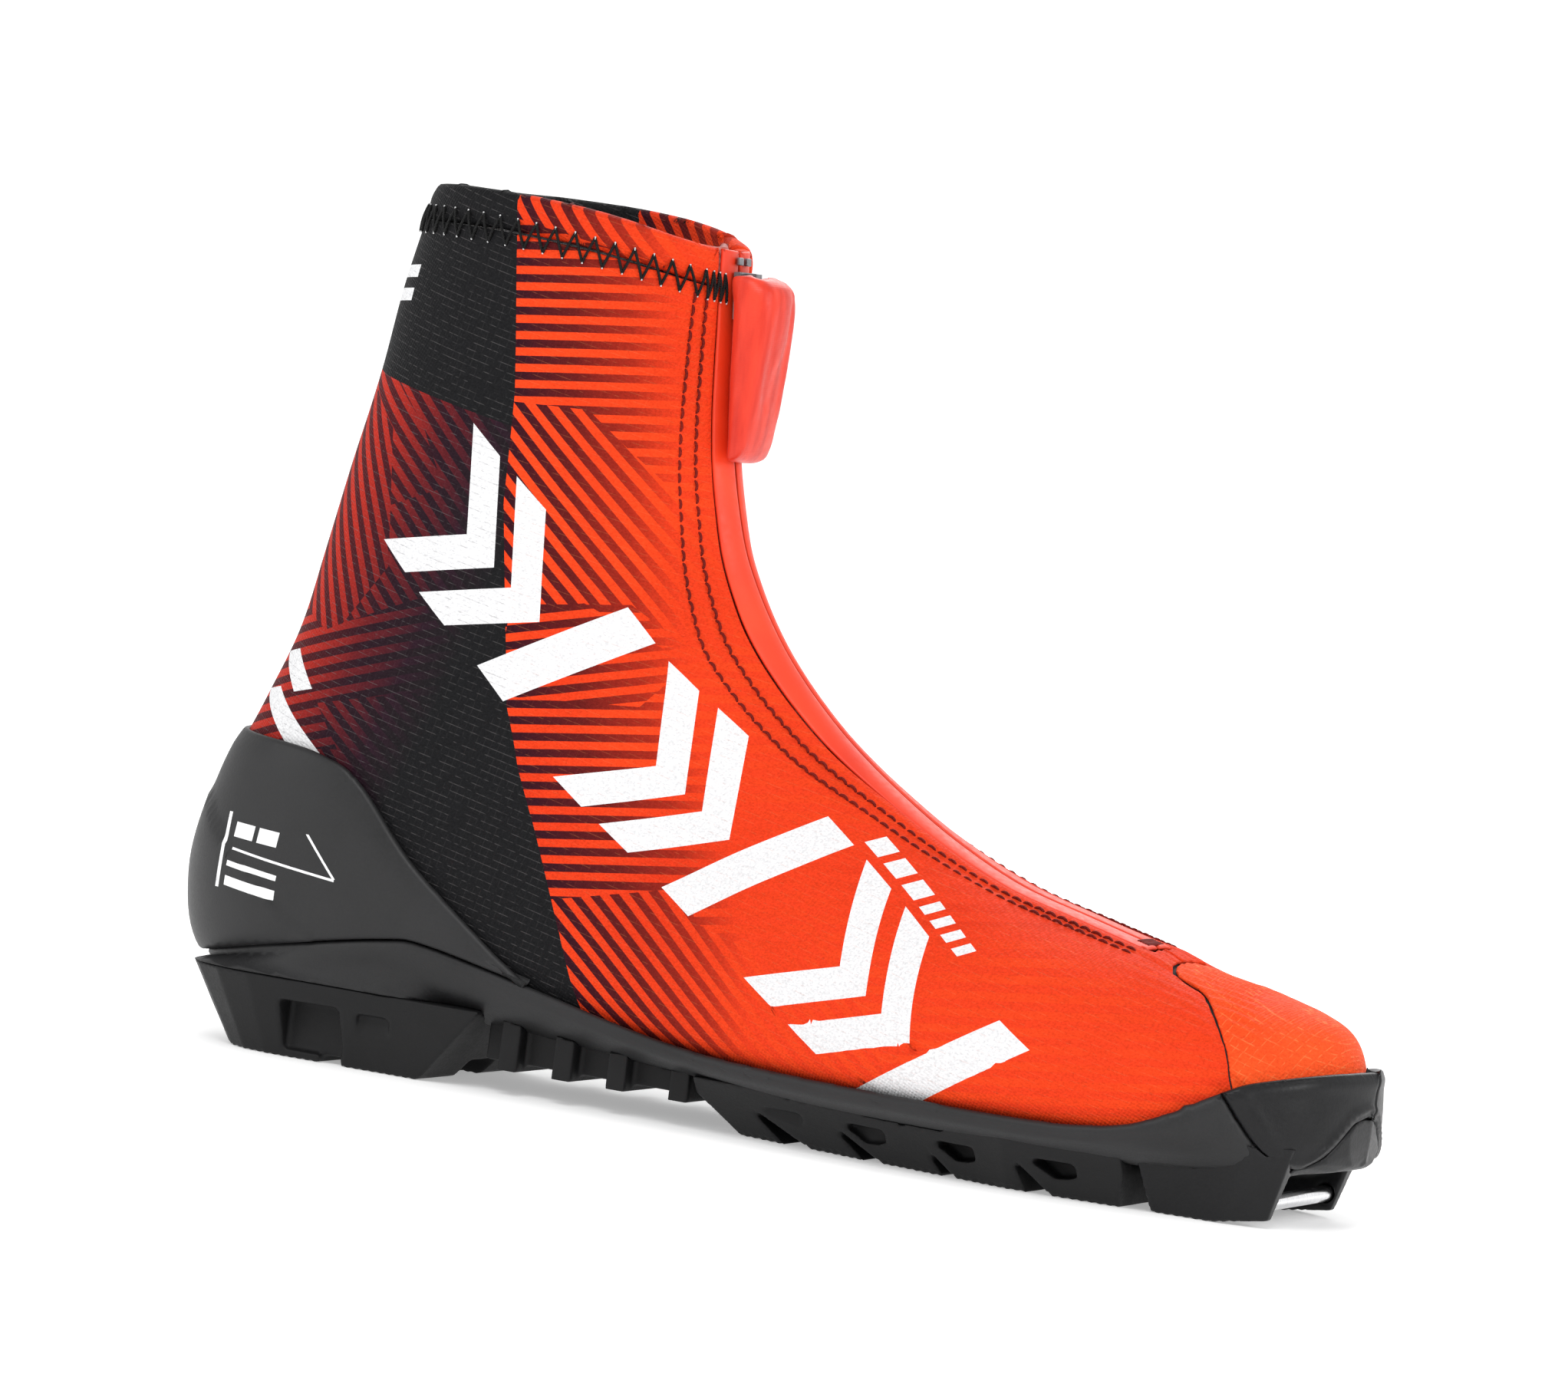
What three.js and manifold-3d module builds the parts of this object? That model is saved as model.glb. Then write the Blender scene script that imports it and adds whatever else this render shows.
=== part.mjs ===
// A right cross country ski boot: zipped softshell upper, moulded heel counter and toe bumper,
// lugged outsole with the steel bar that the ski binding grips. Millimetres, +X to the toe,
// +Y to the inner (medial) side, +Z up, ground at z = 0.
import * as THREE from 'three';
import { mergeVertices } from 'three/addons/utils/BufferGeometryUtils.js';
import Module from 'manifold-3d';

const wasm = await Module();
wasm.setup();

// ---------------------------------------------------------------- driving dimensions
const UPPER_LENGTH = 293; // heel to toe over the upper's skin
const BALL_WIDTH = 91; // over the upper at the ball of the foot
const SOLE_HEIGHT = 12; // ground to the underside of the upper at the ball
const COLLAR_HEIGHT = 208.5; // ground to the top of the collar at the back
const GAP = 0.3; // left between pieces that touch

const UPPER_WALL = 1.5;
const PAD_WALL = 2.4;
const LINER_WALL = 1;
const TONGUE_WALL = 1.8;
const SHANK_WALL = 1;
const FOOTBED_WALL = 3.7;
const RAND_WALL = 2.6;
const BUMPER_WALL = 3.2;
const COUNTER_WALL = 2.7;
const STITCH_WALL = 0.6;
const COLLAR_BAND = 9; // height of the rolled edge
const FOOTBED_LIP = 8; // height of the footbed's raised rim

const ZIP_HALF = 8; // half width of the opening that the zip closes
const ZIP_PROUD = 0.2;
const TAPE_WALL = 1.1;
const TAPE_SPLIT = 1.4; // gap between the two tape edges
const COIL_WIDTH = 1.9;
const COIL_WALL = 2;
const TONGUE_HALF = 14;

const SLIDER = { length: 11, width: 9, plate: 1.5, fromTop: 9.5, pivotAbove: 3 };
const BRIDGE = { half: 2.2, post: 0.8, width: 3.2, room: 2.1 };
const BAIL = { wire: 1.2, width: 9.2, length: 7 };
const PULL = { length: 44, depth: 9.6, width: 18 };

const SLOT_WIDTH = 38; // the binding's jaw enters here
const BAR = { radius: 1.9, x: 134.8, z: 5.6, seat: 2.5 };
const CHANNEL_WIDTH = 14; // guide groove under the sole
const CHANNEL_DEPTH = 4.6;

// ---------------------------------------------------------------- colours
const RED = { color: 0xf03a1c, roughness: 0.75, metalness: 0 };
const DARK = { color: 0x2c2c2e, roughness: 0.7, metalness: 0 };
const RUBBER = { color: 0x2a2a2b, roughness: 0.85, metalness: 0 };
const FOAM = { color: 0x55585c, roughness: 0.95, metalness: 0 };
const STEEL = { color: 0xc8cacc, roughness: 0.3, metalness: 1 };

// ---------------------------------------------------------------- the last
// Sections that fan from the toe (first) up to the collar (last). Each lies in an upright plane
// across the boot, from a sole or heel point to a point on the instep ridge. Given for a boot
// whose upper is 293 long, 91 wide and 208.5 high, and scaled from that.
const NOMINAL = { length: 293, width: 91, sole: 12, ankle: 80, collar: 208.5 };
const SECTIONS = [
  // sole x, z, ridge x, z, half width lateral, medial, widest at, exponent low, high, centre y
  [146.2, 19.0, 146.4, 33.2, 0.0, 0.0, 0.35, 3.5, 2.2, 2.5],
  [142.7, 16.8, 141.0, 43.3, 17.0, 17.0, 0.35, 3.5, 2.2, 2.4],
  [134.7, 15.0, 132.1, 47.6, 27.5, 28.0, 0.35, 3.6, 2.2, 2.0],
  [120.2, 13.2, 116.1, 51.1, 36.5, 37.5, 0.36, 3.8, 2.2, 1.2],
  [100.2, 12.3, 98.1, 55.7, 42.5, 43.0, 0.36, 4.0, 2.1, 0.4],
  [78.2, 12.0, 78.0, 60.7, 45.5, 45.5, 0.35, 4.0, 2.0, 0.0],
  [52.2, 12.0, 58.9, 65.7, 45.0, 44.5, 0.33, 4.0, 1.95, 0.0],
  [22.2, 12.4, 41.0, 73.7, 41.5, 39.5, 0.31, 4.0, 1.9, 0.0],
  [-11.8, 14.6, 25.3, 83.0, 37.5, 34.5, 0.3, 3.8, 1.85, 0.0],
  [-45.8, 16.2, 12.8, 91.8, 34.5, 32.0, 0.3, 3.5, 1.8, 0.0],
  [-81.8, 17.2, 2.8, 100.5, 34.0, 32.5, 0.31, 3.0, 1.8, 0.0],
  [-115.0, 17.0, -5.1, 108.8, 34.5, 33.5, 0.33, 2.6, 1.8, 0.0],
  [-140.0, 20.4, -11.0, 116.5, 34.5, 34.0, 0.36, 2.4, 1.8, 0.0],
  [-147.2, 38.5, -15.8, 124.1, 34.5, 34.0, 0.4, 2.3, 1.8, 0.0],
  [-143.9, 60.2, -19.9, 132.2, 34.5, 34.0, 0.42, 2.2, 1.8, 0.0],
  [-136.1, 80.2, -23.1, 141.8, 34.0, 34.0, 0.44, 2.2, 1.8, 0.0],
  [-129.4, 98.1, -25.8, 152.5, 33.5, 33.5, 0.45, 2.2, 1.8, 0.0],
  [-125.2, 118.1, -27.7, 164.0, 33.0, 33.0, 0.46, 2.2, 1.85, 0.0],
  [-121.0, 139.0, -28.9, 175.0, 33.0, 33.0, 0.46, 2.2, 1.9, 0.0],
  [-115.8, 162.0, -29.8, 184.6, 33.5, 33.5, 0.47, 2.2, 1.9, 0.0],
  [-112.0, 184.9, -30.7, 192.6, 34.5, 34.5, 0.47, 2.2, 1.95, 0.0],
  [-106.8, 207.9, -31.4, 200.1, 35.5, 35.5, 0.48, 2.2, 2.0, 0.0],
];
const TOP = SECTIONS.length - 1;
const ROUND_TOE_TO = 5; // the section where the toe's plan curve has become the side
const HALF_STEPS = 10;
const STATIONS = [0, 0.5, 1, 1.5, 2, 3];
for (let s = 4; s <= TOP + 1; s++) STATIONS.push(s);

const xAt = (x) => (x * UPPER_LENGTH) / NOMINAL.length;
const yAt = (y) => (y * BALL_WIDTH) / NOMINAL.width;
// the foot keeps its height below the ankle, and the shaft above it reaches the collar
function zAt(z) {
  const lifted = z + SOLE_HEIGHT - NOMINAL.sole;
  if (z <= NOMINAL.ankle) return lifted;
  const ankle = NOMINAL.ankle + SOLE_HEIGHT - NOMINAL.sole;
  return THREE.MathUtils.mapLinear(z, NOMINAL.ankle, NOMINAL.collar, ankle, COLLAR_HEIGHT);
}

function sectionRow(i) {
  if (i < 0) return SECTIONS[-i].map((v, k) => (k === 4 || k === 5 ? -v : v));
  if (i > TOP) {
    const beyond = i - TOP;
    return SECTIONS[TOP].map((v, k) => v + beyond * (v - SECTIONS[TOP - 1][k]));
  }
  return SECTIONS[i];
}

function sectionAt(s) {
  const i = Math.floor(s);
  const t = s - i;
  const [p0, p1, p2, p3] = [i - 1, i, i + 1, i + 2].map(sectionRow);
  const v = p1.map((_, k) => {
    const linear = p2[k] - p0[k];
    const square = 2 * p0[k] - 5 * p1[k] + 4 * p2[k] - p3[k];
    const cube = 3 * p1[k] - p0[k] - 3 * p2[k] + p3[k];
    return p1[k] + 0.5 * t * (linear + t * (square + t * cube));
  });
  return {
    sole: new THREE.Vector2(xAt(v[0]), zAt(v[1])),
    ridge: new THREE.Vector2(xAt(v[2]), zAt(v[3])),
    lateral: yAt(v[4]),
    medial: yAt(v[5]),
    widest: v[6],
    low: v[7],
    high: v[8],
    centre: v[9],
  };
}

// share of an inset that goes backwards (rather than inwards) where the toe rounds off
function toeLean(s) {
  if (s >= ROUND_TOE_TO) return { back: 0, side: 1 };
  const step = 0.05;
  const [a, b] = [sectionAt(Math.max(s - step, 0)), sectionAt(s + step)];
  const run = (a.sole.x + a.ridge.x - b.sole.x - b.ridge.x) / 2;
  const widen = Math.max((b.lateral + b.medial - a.lateral - a.medial) / 2, 0);
  const size = Math.hypot(run, widen);
  const fade = THREE.MathUtils.smoothstep(ROUND_TOE_TO - s, 0, 1);
  const back = (widen / size) * fade;
  return { back, side: Math.sqrt(1 - back * back) };
}

// a point of the last's surface: angle 0 at the sole and pi at the ridge, side -1 lateral,
// +1 medial, and depth below the skin (negative outside it)
function lastPoint(section, lean, angle, side, depth) {
  const across = section.ridge.clone().sub(section.sole);
  const length = across.length() - 2 * depth;
  across.normalize();
  const half = (side < 0 ? section.lateral : section.medial) - depth * lean.side;
  const exponent = angle < Math.PI / 2 ? section.low : section.high;
  const c = Math.cos(angle);
  const reach = Math.abs(c) ** (2 / exponent);
  const up =
    c > 0 ? section.widest * length * (1 - reach) : length * (section.widest + (1 - section.widest) * reach);
  const at = section.sole.clone().addScaledVector(across, depth + up);
  const y = section.centre + side * Math.max(half, 0) * Math.sin(angle) ** (2 / exponent);
  return new THREE.Vector3(at.x - depth * lean.back, y, at.y);
}

// angles that share out a half section evenly along its length
function evenAngles(section, lean) {
  const fine = 240;
  const lengths = [0];
  let last = lastPoint(section, lean, 0, -1, 0);
  for (let k = 1; k <= fine; k++) {
    const next = lastPoint(section, lean, (Math.PI * k) / fine, -1, 0);
    lengths.push(lengths[k - 1] + next.distanceTo(last));
    last = next;
  }
  const angles = [];
  let k = 0;
  for (let j = 0; j <= HALF_STEPS; j++) {
    const want = (lengths[fine] * j) / HALF_STEPS;
    while (k < fine - 1 && lengths[k + 1] < want) k++;
    const share = (want - lengths[k]) / (lengths[k + 1] - lengths[k]);
    angles.push((Math.PI * Math.min(k + share, fine)) / fine);
  }
  return angles;
}

const RINGS = STATIONS.map((s) => {
  const section = sectionAt(s);
  const lean = toeLean(s);
  return { section, lean, angles: evenAngles(section, lean) };
});

// ---------------------------------------------------------------- solids
function solidOf(positions, triangles) {
  const mesh = new wasm.Mesh({
    numProp: 3,
    vertProperties: new Float32Array(positions),
    triVerts: new Uint32Array(triangles),
  });
  return new wasm.Manifold(mesh);
}

function solid(geometry) {
  const bare = geometry.clone();
  bare.deleteAttribute('normal');
  bare.deleteAttribute('uv');
  const merged = mergeVertices(bare, 1e-4);
  return solidOf(merged.attributes.position.array, merged.index.array);
}

const join = (first, ...rest) => rest.reduce((a, b) => a.add(b), first);
const cut = (first, ...rest) => rest.reduce((a, b) => a.subtract(b), first);
const keep = (first, ...rest) => rest.reduce((a, b) => a.intersect(b), first);

// the whole last at a depth below the skin, closed above the collar
const lasts = new Map();
function last(depth) {
  if (lasts.has(depth)) return lasts.get(depth);
  const positions = [];
  const around = 2 * HALF_STEPS;
  for (const { section, lean, angles } of RINGS) {
    for (let j = 0; j < around; j++) {
      const lateral = j <= HALF_STEPS;
      const angle = angles[lateral ? j : around - j];
      positions.push(...lastPoint(section, lean, angle, lateral ? -1 : 1, depth));
    }
  }
  // at the toe's tip both sides meet in one line
  const index = (i, j) => (i === 0 && j > HALF_STEPS ? around - j : i * around + (j % around));
  const triangles = [];
  const face = (a, b, c) => {
    if (a !== b && b !== c && c !== a) triangles.push(a, b, c);
  };
  for (let i = 0; i < RINGS.length - 1; i++) {
    for (let j = 0; j < around; j++) {
      const [a, b] = [index(i, j), index(i, (j + 1) % around)];
      const [c, d] = [index(i + 1, j), index(i + 1, (j + 1) % around)];
      face(a, d, c);
      face(a, b, d);
    }
  }
  const end = RINGS.length - 1;
  for (let j = 1; j < around - 1; j++) face(index(end, 0), index(end, j), index(end, j + 1));
  const used = [...new Set(triangles)].sort((a, b) => a - b);
  const rename = new Map(used.map((old, at) => [old, at]));
  const kept = used.flatMap((v) => positions.slice(3 * v, 3 * v + 3));
  const body = solidOf(kept, triangles.map((v) => rename.get(v)));
  lasts.set(depth, body);
  return body;
}

const shell = (outer, inner) => cut(last(outer), last(inner));

function extruded(points, depth) {
  const shape = new THREE.Shape(points);
  return new THREE.ExtrudeGeometry(shape, { depth, bevelEnabled: false, steps: 1 });
}

// outlines seen from the side (x, z) and from the front (y, z)
const REACH = 80;
function side(points, low = -REACH, high = REACH) {
  const flat = extruded(points, high - low).rotateX(Math.PI / 2);
  return solid(flat.translate(0, high, 0));
}
function front(points, low, high) {
  const turned = extruded(points, high - low).rotateX(Math.PI / 2).rotateZ(Math.PI / 2);
  return solid(turned.translate(low, 0, 0));
}

function box(x, y, z) {
  const size = [x, y, z].map(([a, b]) => b - a);
  const middle = [x, y, z].map(([a, b]) => (a + b) / 2);
  return solid(new THREE.BoxGeometry(...size).translate(...middle));
}

// a block whose plan outline changes from bottom to top, point for point
function tapered(bottom, low, top, high) {
  const count = bottom.length;
  const positions = [...bottom.flatMap((p) => [p.x, p.y, low]), ...top.flatMap((p) => [p.x, p.y, high])];
  const triangles = [];
  for (let i = 0; i < count; i++) {
    const j = (i + 1) % count;
    triangles.push(i, j, count + j, i, count + j, count + i);
  }
  for (const [a, b, c] of THREE.ShapeUtils.triangulateShape(bottom, [])) {
    triangles.push(a, c, b, count + a, count + b, count + c);
  }
  return solidOf(positions, triangles);
}

const line = (points) => points.map(([x, z]) => new THREE.Vector2(xAt(x), zAt(z)));
const curve = (points, steps) => new THREE.SplineCurve(line(points)).getPoints(steps);
// points seen from above, and points seen from the side whose heights are counted from the ground
const flat = (points) => points.map(([x, y]) => new THREE.Vector2(xAt(x), yAt(y)));
const upright = (points) => points.map(([x, z]) => new THREE.Vector2(xAt(x), z));
const signed = (sign, low, high) => [low * sign, high * sign].sort((a, b) => a - b);
const FAR = 320;
const offsetBy = (points, dx, dz) => points.map((p) => new THREE.Vector2(p.x + dx, p.y + dz));

const corners = (x0, x1, z) => [new THREE.Vector2(x0, z), new THREE.Vector2(x1, z)];
// the side regions below and above a line that runs forwards, behind and ahead of one that runs up
function below(points, gap = 0) {
  const edge = offsetBy(points, 0, -gap);
  return side([...corners(edge[0].x, edge.at(-1).x, -FAR), ...edge.reverse()]);
}
function above(points, gap = 0) {
  const edge = offsetBy(points, 0, gap);
  return side([...edge, ...corners(edge.at(-1).x, edge[0].x, FAR)]);
}
function behind(points, gap = 0) {
  const edge = offsetBy(points, -gap, 0);
  return side([...corners(-FAR, edge[0].x, -FAR), ...edge, ...corners(edge.at(-1).x, -FAR, FAR)]);
}
function ahead(points, gap = 0) {
  const edge = offsetBy(points, gap, 0);
  return side([...corners(edge[0].x, FAR, -FAR), ...corners(FAR, edge.at(-1).x, FAR), ...edge.reverse()]);
}

const lateralHalf = (gap) => box([-FAR, FAR], [-REACH, -gap], [-FAR, FAR]);
const medialHalf = (gap) => box([-FAR, FAR], [gap, REACH], [-FAR, FAR]);

// ---------------------------------------------------------------- lines seen from the side
// where the sole unit's upper edge meets the upper, from the heel forwards
const FEATHER = curve(
  [[-175, 17], [-144.7, 19.5], [-114.3, 25.7], [-84, 31.6], [-72, 31.8], [-43.4, 26.1], [-6.1, 18.3],
    [24.2, 17.1], [57.2, 17], [86.6, 17], [103.5, 18.8], [114.3, 22.6], [126.5, 29.9], [133.4, 33.3],
    [149.4, 36.7], [175, 37.2]],
  30,
);
const COUNTER_TOP = [
  ...curve([[-175, 76.6], [-122.2, 74.5], [-104.2, 72.1], [-94.1, 67.1], [-78.5, 51], [-55.5, 33.3]], 16),
  ...line([[-44.3, 25.8], [-30, 16]]),
];
const COLLAR_TOP = [
  ...curve([[-150, 209.5], [-106.5, 208.5], [-90.8, 208.5], [-70.3, 207.6], [-49.8, 205.2], [-29.1, 200.6]], 14),
  ...line([[-10, 195.8], [175, 195.8]]),
];
const TOE_SEAM = [
  ...curve([[84, 82], [98.5, 57], [114.1, 49.2], [123.2, 40.3], [127.4, 30.9]], 10),
  ...line([[128, 0]]),
].reverse();
const CAP_SEAM = line([[140.5, -30], [139, 12.5], [126, 30.8], [118, 50]]);
const LASTING_EDGE = line([
  [-175, 25], [-132, 24.5], [-112, 21.6], [-82, 21], [-46, 20], [-12, 18.4], [22, 16], [78, 15.6],
  [120, 17], [146, 23], [175, 23],
]);
const FOOTBED_EDGE = offsetBy(LASTING_EDGE, 0, FOOTBED_LIP);

// ---------------------------------------------------------------- depths of the layers
const UPPER = [0, UPPER_WALL];
const PAD = [UPPER[1] + GAP, UPPER[1] + GAP + PAD_WALL];
const LINER = [PAD[1] + GAP, PAD[1] + GAP + LINER_WALL];
const TONGUE = [LINER[1] + 2 * GAP, LINER[1] + 2 * GAP + TONGUE_WALL];
const SHANK = [UPPER[1] + GAP, UPPER[1] + GAP + SHANK_WALL];
const FOOTBED = [SHANK[1] + GAP, SHANK[1] + GAP + FOOTBED_WALL];
const RAND = [-GAP - RAND_WALL, -GAP];
const BUMPER = [-GAP - BUMPER_WALL, -GAP];
const COUNTER = [-GAP - COUNTER_WALL, -GAP];
const STITCH = [-GAP - STITCH_WALL, -GAP];
const TAPE = [-ZIP_PROUD, TAPE_WALL - ZIP_PROUD];
const COIL = [TAPE[1] + GAP, TAPE[1] + GAP + COIL_WALL];

// ---------------------------------------------------------------- the zip's path
const ZIP_END = 4.15; // section where the zip stops, near the toe
function alongRidge(from, reach) {
  const points = [];
  for (let s = from; s < TOP + 1; s++) points.push(s);
  return [...points, TOP + 1].map((s) => {
    const { sole, ridge } = sectionAt(s);
    return ridge.clone().addScaledVector(ridge.clone().sub(sole).normalize(), reach);
  });
}
// everything near the ridge, from one section upwards, between two distances from the middle
function ridgeStrip(from, low, high) {
  return side([...alongRidge(from, -16), ...alongRidge(from, 10).reverse()], low, high);
}
const zipOpening = ridgeStrip(ZIP_END, -ZIP_HALF, ZIP_HALF);
const belowCollar = below(COLLAR_TOP);
const belowBand = below(COLLAR_TOP, COLLAR_BAND + GAP);

// ---------------------------------------------------------------- upper
const quarters = cut(
  keep(shell(...UPPER), belowBand, above(LASTING_EDGE, GAP), behind(TOE_SEAM, GAP / 2)),
  zipOpening,
);
const quarterLateral = () => keep(quarters, lateralHalf(GAP / 2));
const quarterMedial = () => keep(quarters, medialHalf(GAP / 2));
const toePanel = () => keep(shell(...UPPER), above(LASTING_EDGE, GAP), ahead(TOE_SEAM, GAP / 2));
const lastingBoard = () => keep(shell(...UPPER), below(LASTING_EDGE));
const heelCounter = () => keep(shell(...COUNTER), above(FEATHER, GAP), below(COUNTER_TOP));
const collarBand = () =>
  cut(keep(shell(UPPER[0], LINER[1]), belowCollar, above(COLLAR_TOP, -COLLAR_BAND)), zipOpening);

// a zigzag thread round the collar, over the join of the rolled edge and the quarters
const STITCHES = 34;
const STITCH_RISE = 2.4;
const STITCH_CLEAR = 0.2; // from the zip's opening to the middle of the first stitch
function collarStitching() {
  const section = sectionAt(TOP - 0.5);
  const lean = { back: 0, side: 1 };
  const seam = offsetBy(COLLAR_TOP, 0, -COLLAR_BAND);
  const seamHeight = (x) => {
    const i = seam.findIndex((p, k) => k > 0 && p.x >= x);
    return THREE.MathUtils.mapLinear(x, seam[i - 1].x, seam[i].x, seam[i - 1].y, seam[i].y);
  };
  const at = (turn, depth) => lastPoint(section, lean, Math.abs(turn), turn > 0 ? -1 : 1, depth);
  const free = Math.asin(((ZIP_HALF + STITCH_CLEAR) / section.lateral) ** (section.high / 2));
  const positions = [];
  for (let k = 0; k <= STITCHES; k++) {
    const turn = (Math.PI - free) * (1 - (2 * k) / STITCHES);
    for (const [step, depth] of [[-1, STITCH[0]], [1, STITCH[0]], [1, STITCH[1]], [-1, STITCH[1]]]) {
      const p = at(turn + step * 0.012, depth);
      positions.push(p.x, p.y, seamHeight(p.x) + (k % 2 ? STITCH_RISE : -STITCH_RISE));
    }
  }
  const triangles = [0, 2, 1, 0, 3, 2];
  for (let k = 0; k < STITCHES; k++) {
    for (let j = 0; j < 4; j++) {
      const [a, b] = [4 * k + j, 4 * k + ((j + 1) % 4)];
      triangles.push(a, b, b + 4, a, b + 4, a + 4);
    }
  }
  const end = 4 * STITCHES;
  triangles.push(end, end + 1, end + 2, end, end + 2, end + 3);
  return solidOf(positions, triangles);
}

// ---------------------------------------------------------------- zip
const tape = (sign) => {
  const edges = signed(sign, TAPE_SPLIT / 2, ZIP_HALF - GAP);
  return keep(shell(...TAPE), ridgeStrip(ZIP_END + 0.05, ...edges), belowCollar);
};
const coil = (sign) => {
  const edges = signed(sign, TAPE_SPLIT / 2, TAPE_SPLIT / 2 + COIL_WIDTH);
  return keep(shell(...COIL), ridgeStrip(ZIP_END + 0.1, ...edges), belowCollar);
};

// the straight stretch at the front of the shaft, which the slider runs on
const straightTop = sectionAt(TOP).ridge;
const down = sectionAt(TOP - 4).ridge.clone().sub(straightTop).normalize();
const out = new THREE.Vector2(-down.y, down.x);
const onZip = new THREE.Matrix4().makeBasis(
  new THREE.Vector3(down.x, 0, down.y),
  new THREE.Vector3(0, 1, 0),
  new THREE.Vector3(out.x, 0, out.y),
).setPosition(straightTop.x, 0, straightTop.y);
// a block measured down the zip from its top, across it, and out from the ridge
function zipBox([u0, u1], [v0, v1], [n0, n1]) {
  const size = new THREE.BoxGeometry(u1 - u0, v1 - v0, n1 - n0);
  return solid(size.translate((u0 + u1) / 2, (v0 + v1) / 2, (n0 + n1) / 2).applyMatrix4(onZip));
}
const PLATE_LOW = 0.6; // clear of the tapes
const PLATE_HIGH = PLATE_LOW + SLIDER.plate;
const PIVOT = {
  u: SLIDER.fromTop - SLIDER.pivotAbove,
  n: PLATE_HIGH + BRIDGE.room / 2,
};
function zipSlider() {
  const [u0, u1] = [SLIDER.fromTop - SLIDER.length / 2, SLIDER.fromTop + SLIDER.length / 2];
  const across = [-SLIDER.width / 2, SLIDER.width / 2];
  const inner = -(COIL[1] + 4 * GAP);
  const neck = TAPE_SPLIT / 2 - GAP;
  const arch = [-BRIDGE.width / 2, BRIDGE.width / 2];
  const [a, b] = [PIVOT.u - BRIDGE.half, PIVOT.u + BRIDGE.half];
  const roof = PLATE_HIGH + BRIDGE.room;
  return join(
    zipBox([u0, u1], across, [PLATE_LOW, PLATE_HIGH]),
    zipBox([u0, u1], across, [inner - 0.8, inner]),
    zipBox([u0 + 1, u0 + 4], [-neck, neck], [inner - 0.4, PLATE_LOW + 0.4]),
    zipBox([a, a + BRIDGE.post], arch, [PLATE_HIGH - 0.3, roof + BRIDGE.post]),
    zipBox([b - BRIDGE.post, b], arch, [PLATE_HIGH - 0.3, roof + BRIDGE.post]),
    zipBox([a, b], arch, [roof, roof + BRIDGE.post]),
  );
}
function zipBail() {
  const half = BAIL.wire / 2;
  const [u0, u1] = [PIVOT.u - half, PIVOT.u + BAIL.length - half];
  const wide = BAIL.width / 2;
  const thick = [PIVOT.n - half, PIVOT.n + half];
  return cut(
    zipBox([u0, u1], [-wide, wide], thick),
    zipBox([u0 + BAIL.wire, u1 - BAIL.wire], [-wide + BAIL.wire, wide - BAIL.wire], [-9, 9]),
  );
}
// a padded fabric pull, hollow at the back where it hides the slider and the bail
function zipPullTab() {
  const pivot = straightTop.clone().addScaledVector(down, PIVOT.u).addScaledVector(out, PIVOT.n);
  const back = [TOP - 1.7, TOP - 2, TOP - 3, TOP - 4, TOP - 4.6].map((s) => {
    const skin = sectionAt(s).ridge;
    return skin.clone().addScaledVector(out, 1.1);
  });
  const low = pivot.y - (PULL.length - 2.6);
  const tip = back.findIndex((p) => p.y < low);
  const behindIt = (tip < 0 ? back : back.slice(0, tip)).concat(
    new THREE.Vector2(pivot.x + 0.31 * PULL.depth, low),
  );
  const ahead = [[0.4, -0.935], [0.8, -0.79], [1, -0.29], [0.99, -0.04], [0.46, 0.066], [0, 0.055]];
  const face = ahead.map(([n, u]) => new THREE.Vector2(pivot.x + n * PULL.depth, pivot.y + u * PULL.length));
  const nape = new THREE.Vector2(pivot.x - 1.7, pivot.y + 1.3);
  const wide = PULL.width / 2;
  const pad = side([...behindIt, ...face, nape], -wide, wide);
  const roomHalf = BAIL.width / 2 + 0.8;
  const roomEnd = Math.max(PIVOT.u + BAIL.length, SLIDER.fromTop + SLIDER.length / 2) + GAP;
  const room = zipBox([PIVOT.u - 9, roomEnd], [-roomHalf, roomHalf], [-6, PIVOT.n + 3.9]);
  return cut(pad, room);
}
const TOP_STOP = { from: 0.6, to: 2.4, edge: 0.3, width: 2.3, height: 1 };
const topStop = (sign) => {
  const inner = TAPE_SPLIT / 2 + TOP_STOP.edge;
  const foot = ZIP_PROUD + GAP;
  const across = signed(sign, inner, inner + TOP_STOP.width);
  return zipBox([TOP_STOP.from, TOP_STOP.to], across, [foot, foot + TOP_STOP.height]);
};
function bottomStop() {
  const from = sectionAt(ZIP_END + 0.25).ridge.x;
  const across = box([from, from + 2.4], [-4, 4], [-FAR, FAR]);
  return keep(shell(TAPE[0] - GAP - 1, TAPE[0] - GAP), ridgeStrip(ZIP_END, -4, 4), across);
}
const tongue = () =>
  keep(
    shell(...TONGUE),
    ridgeStrip(ZIP_END + 0.35, -TONGUE_HALF, TONGUE_HALF),
    below(COLLAR_TOP, 1),
  );

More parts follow.
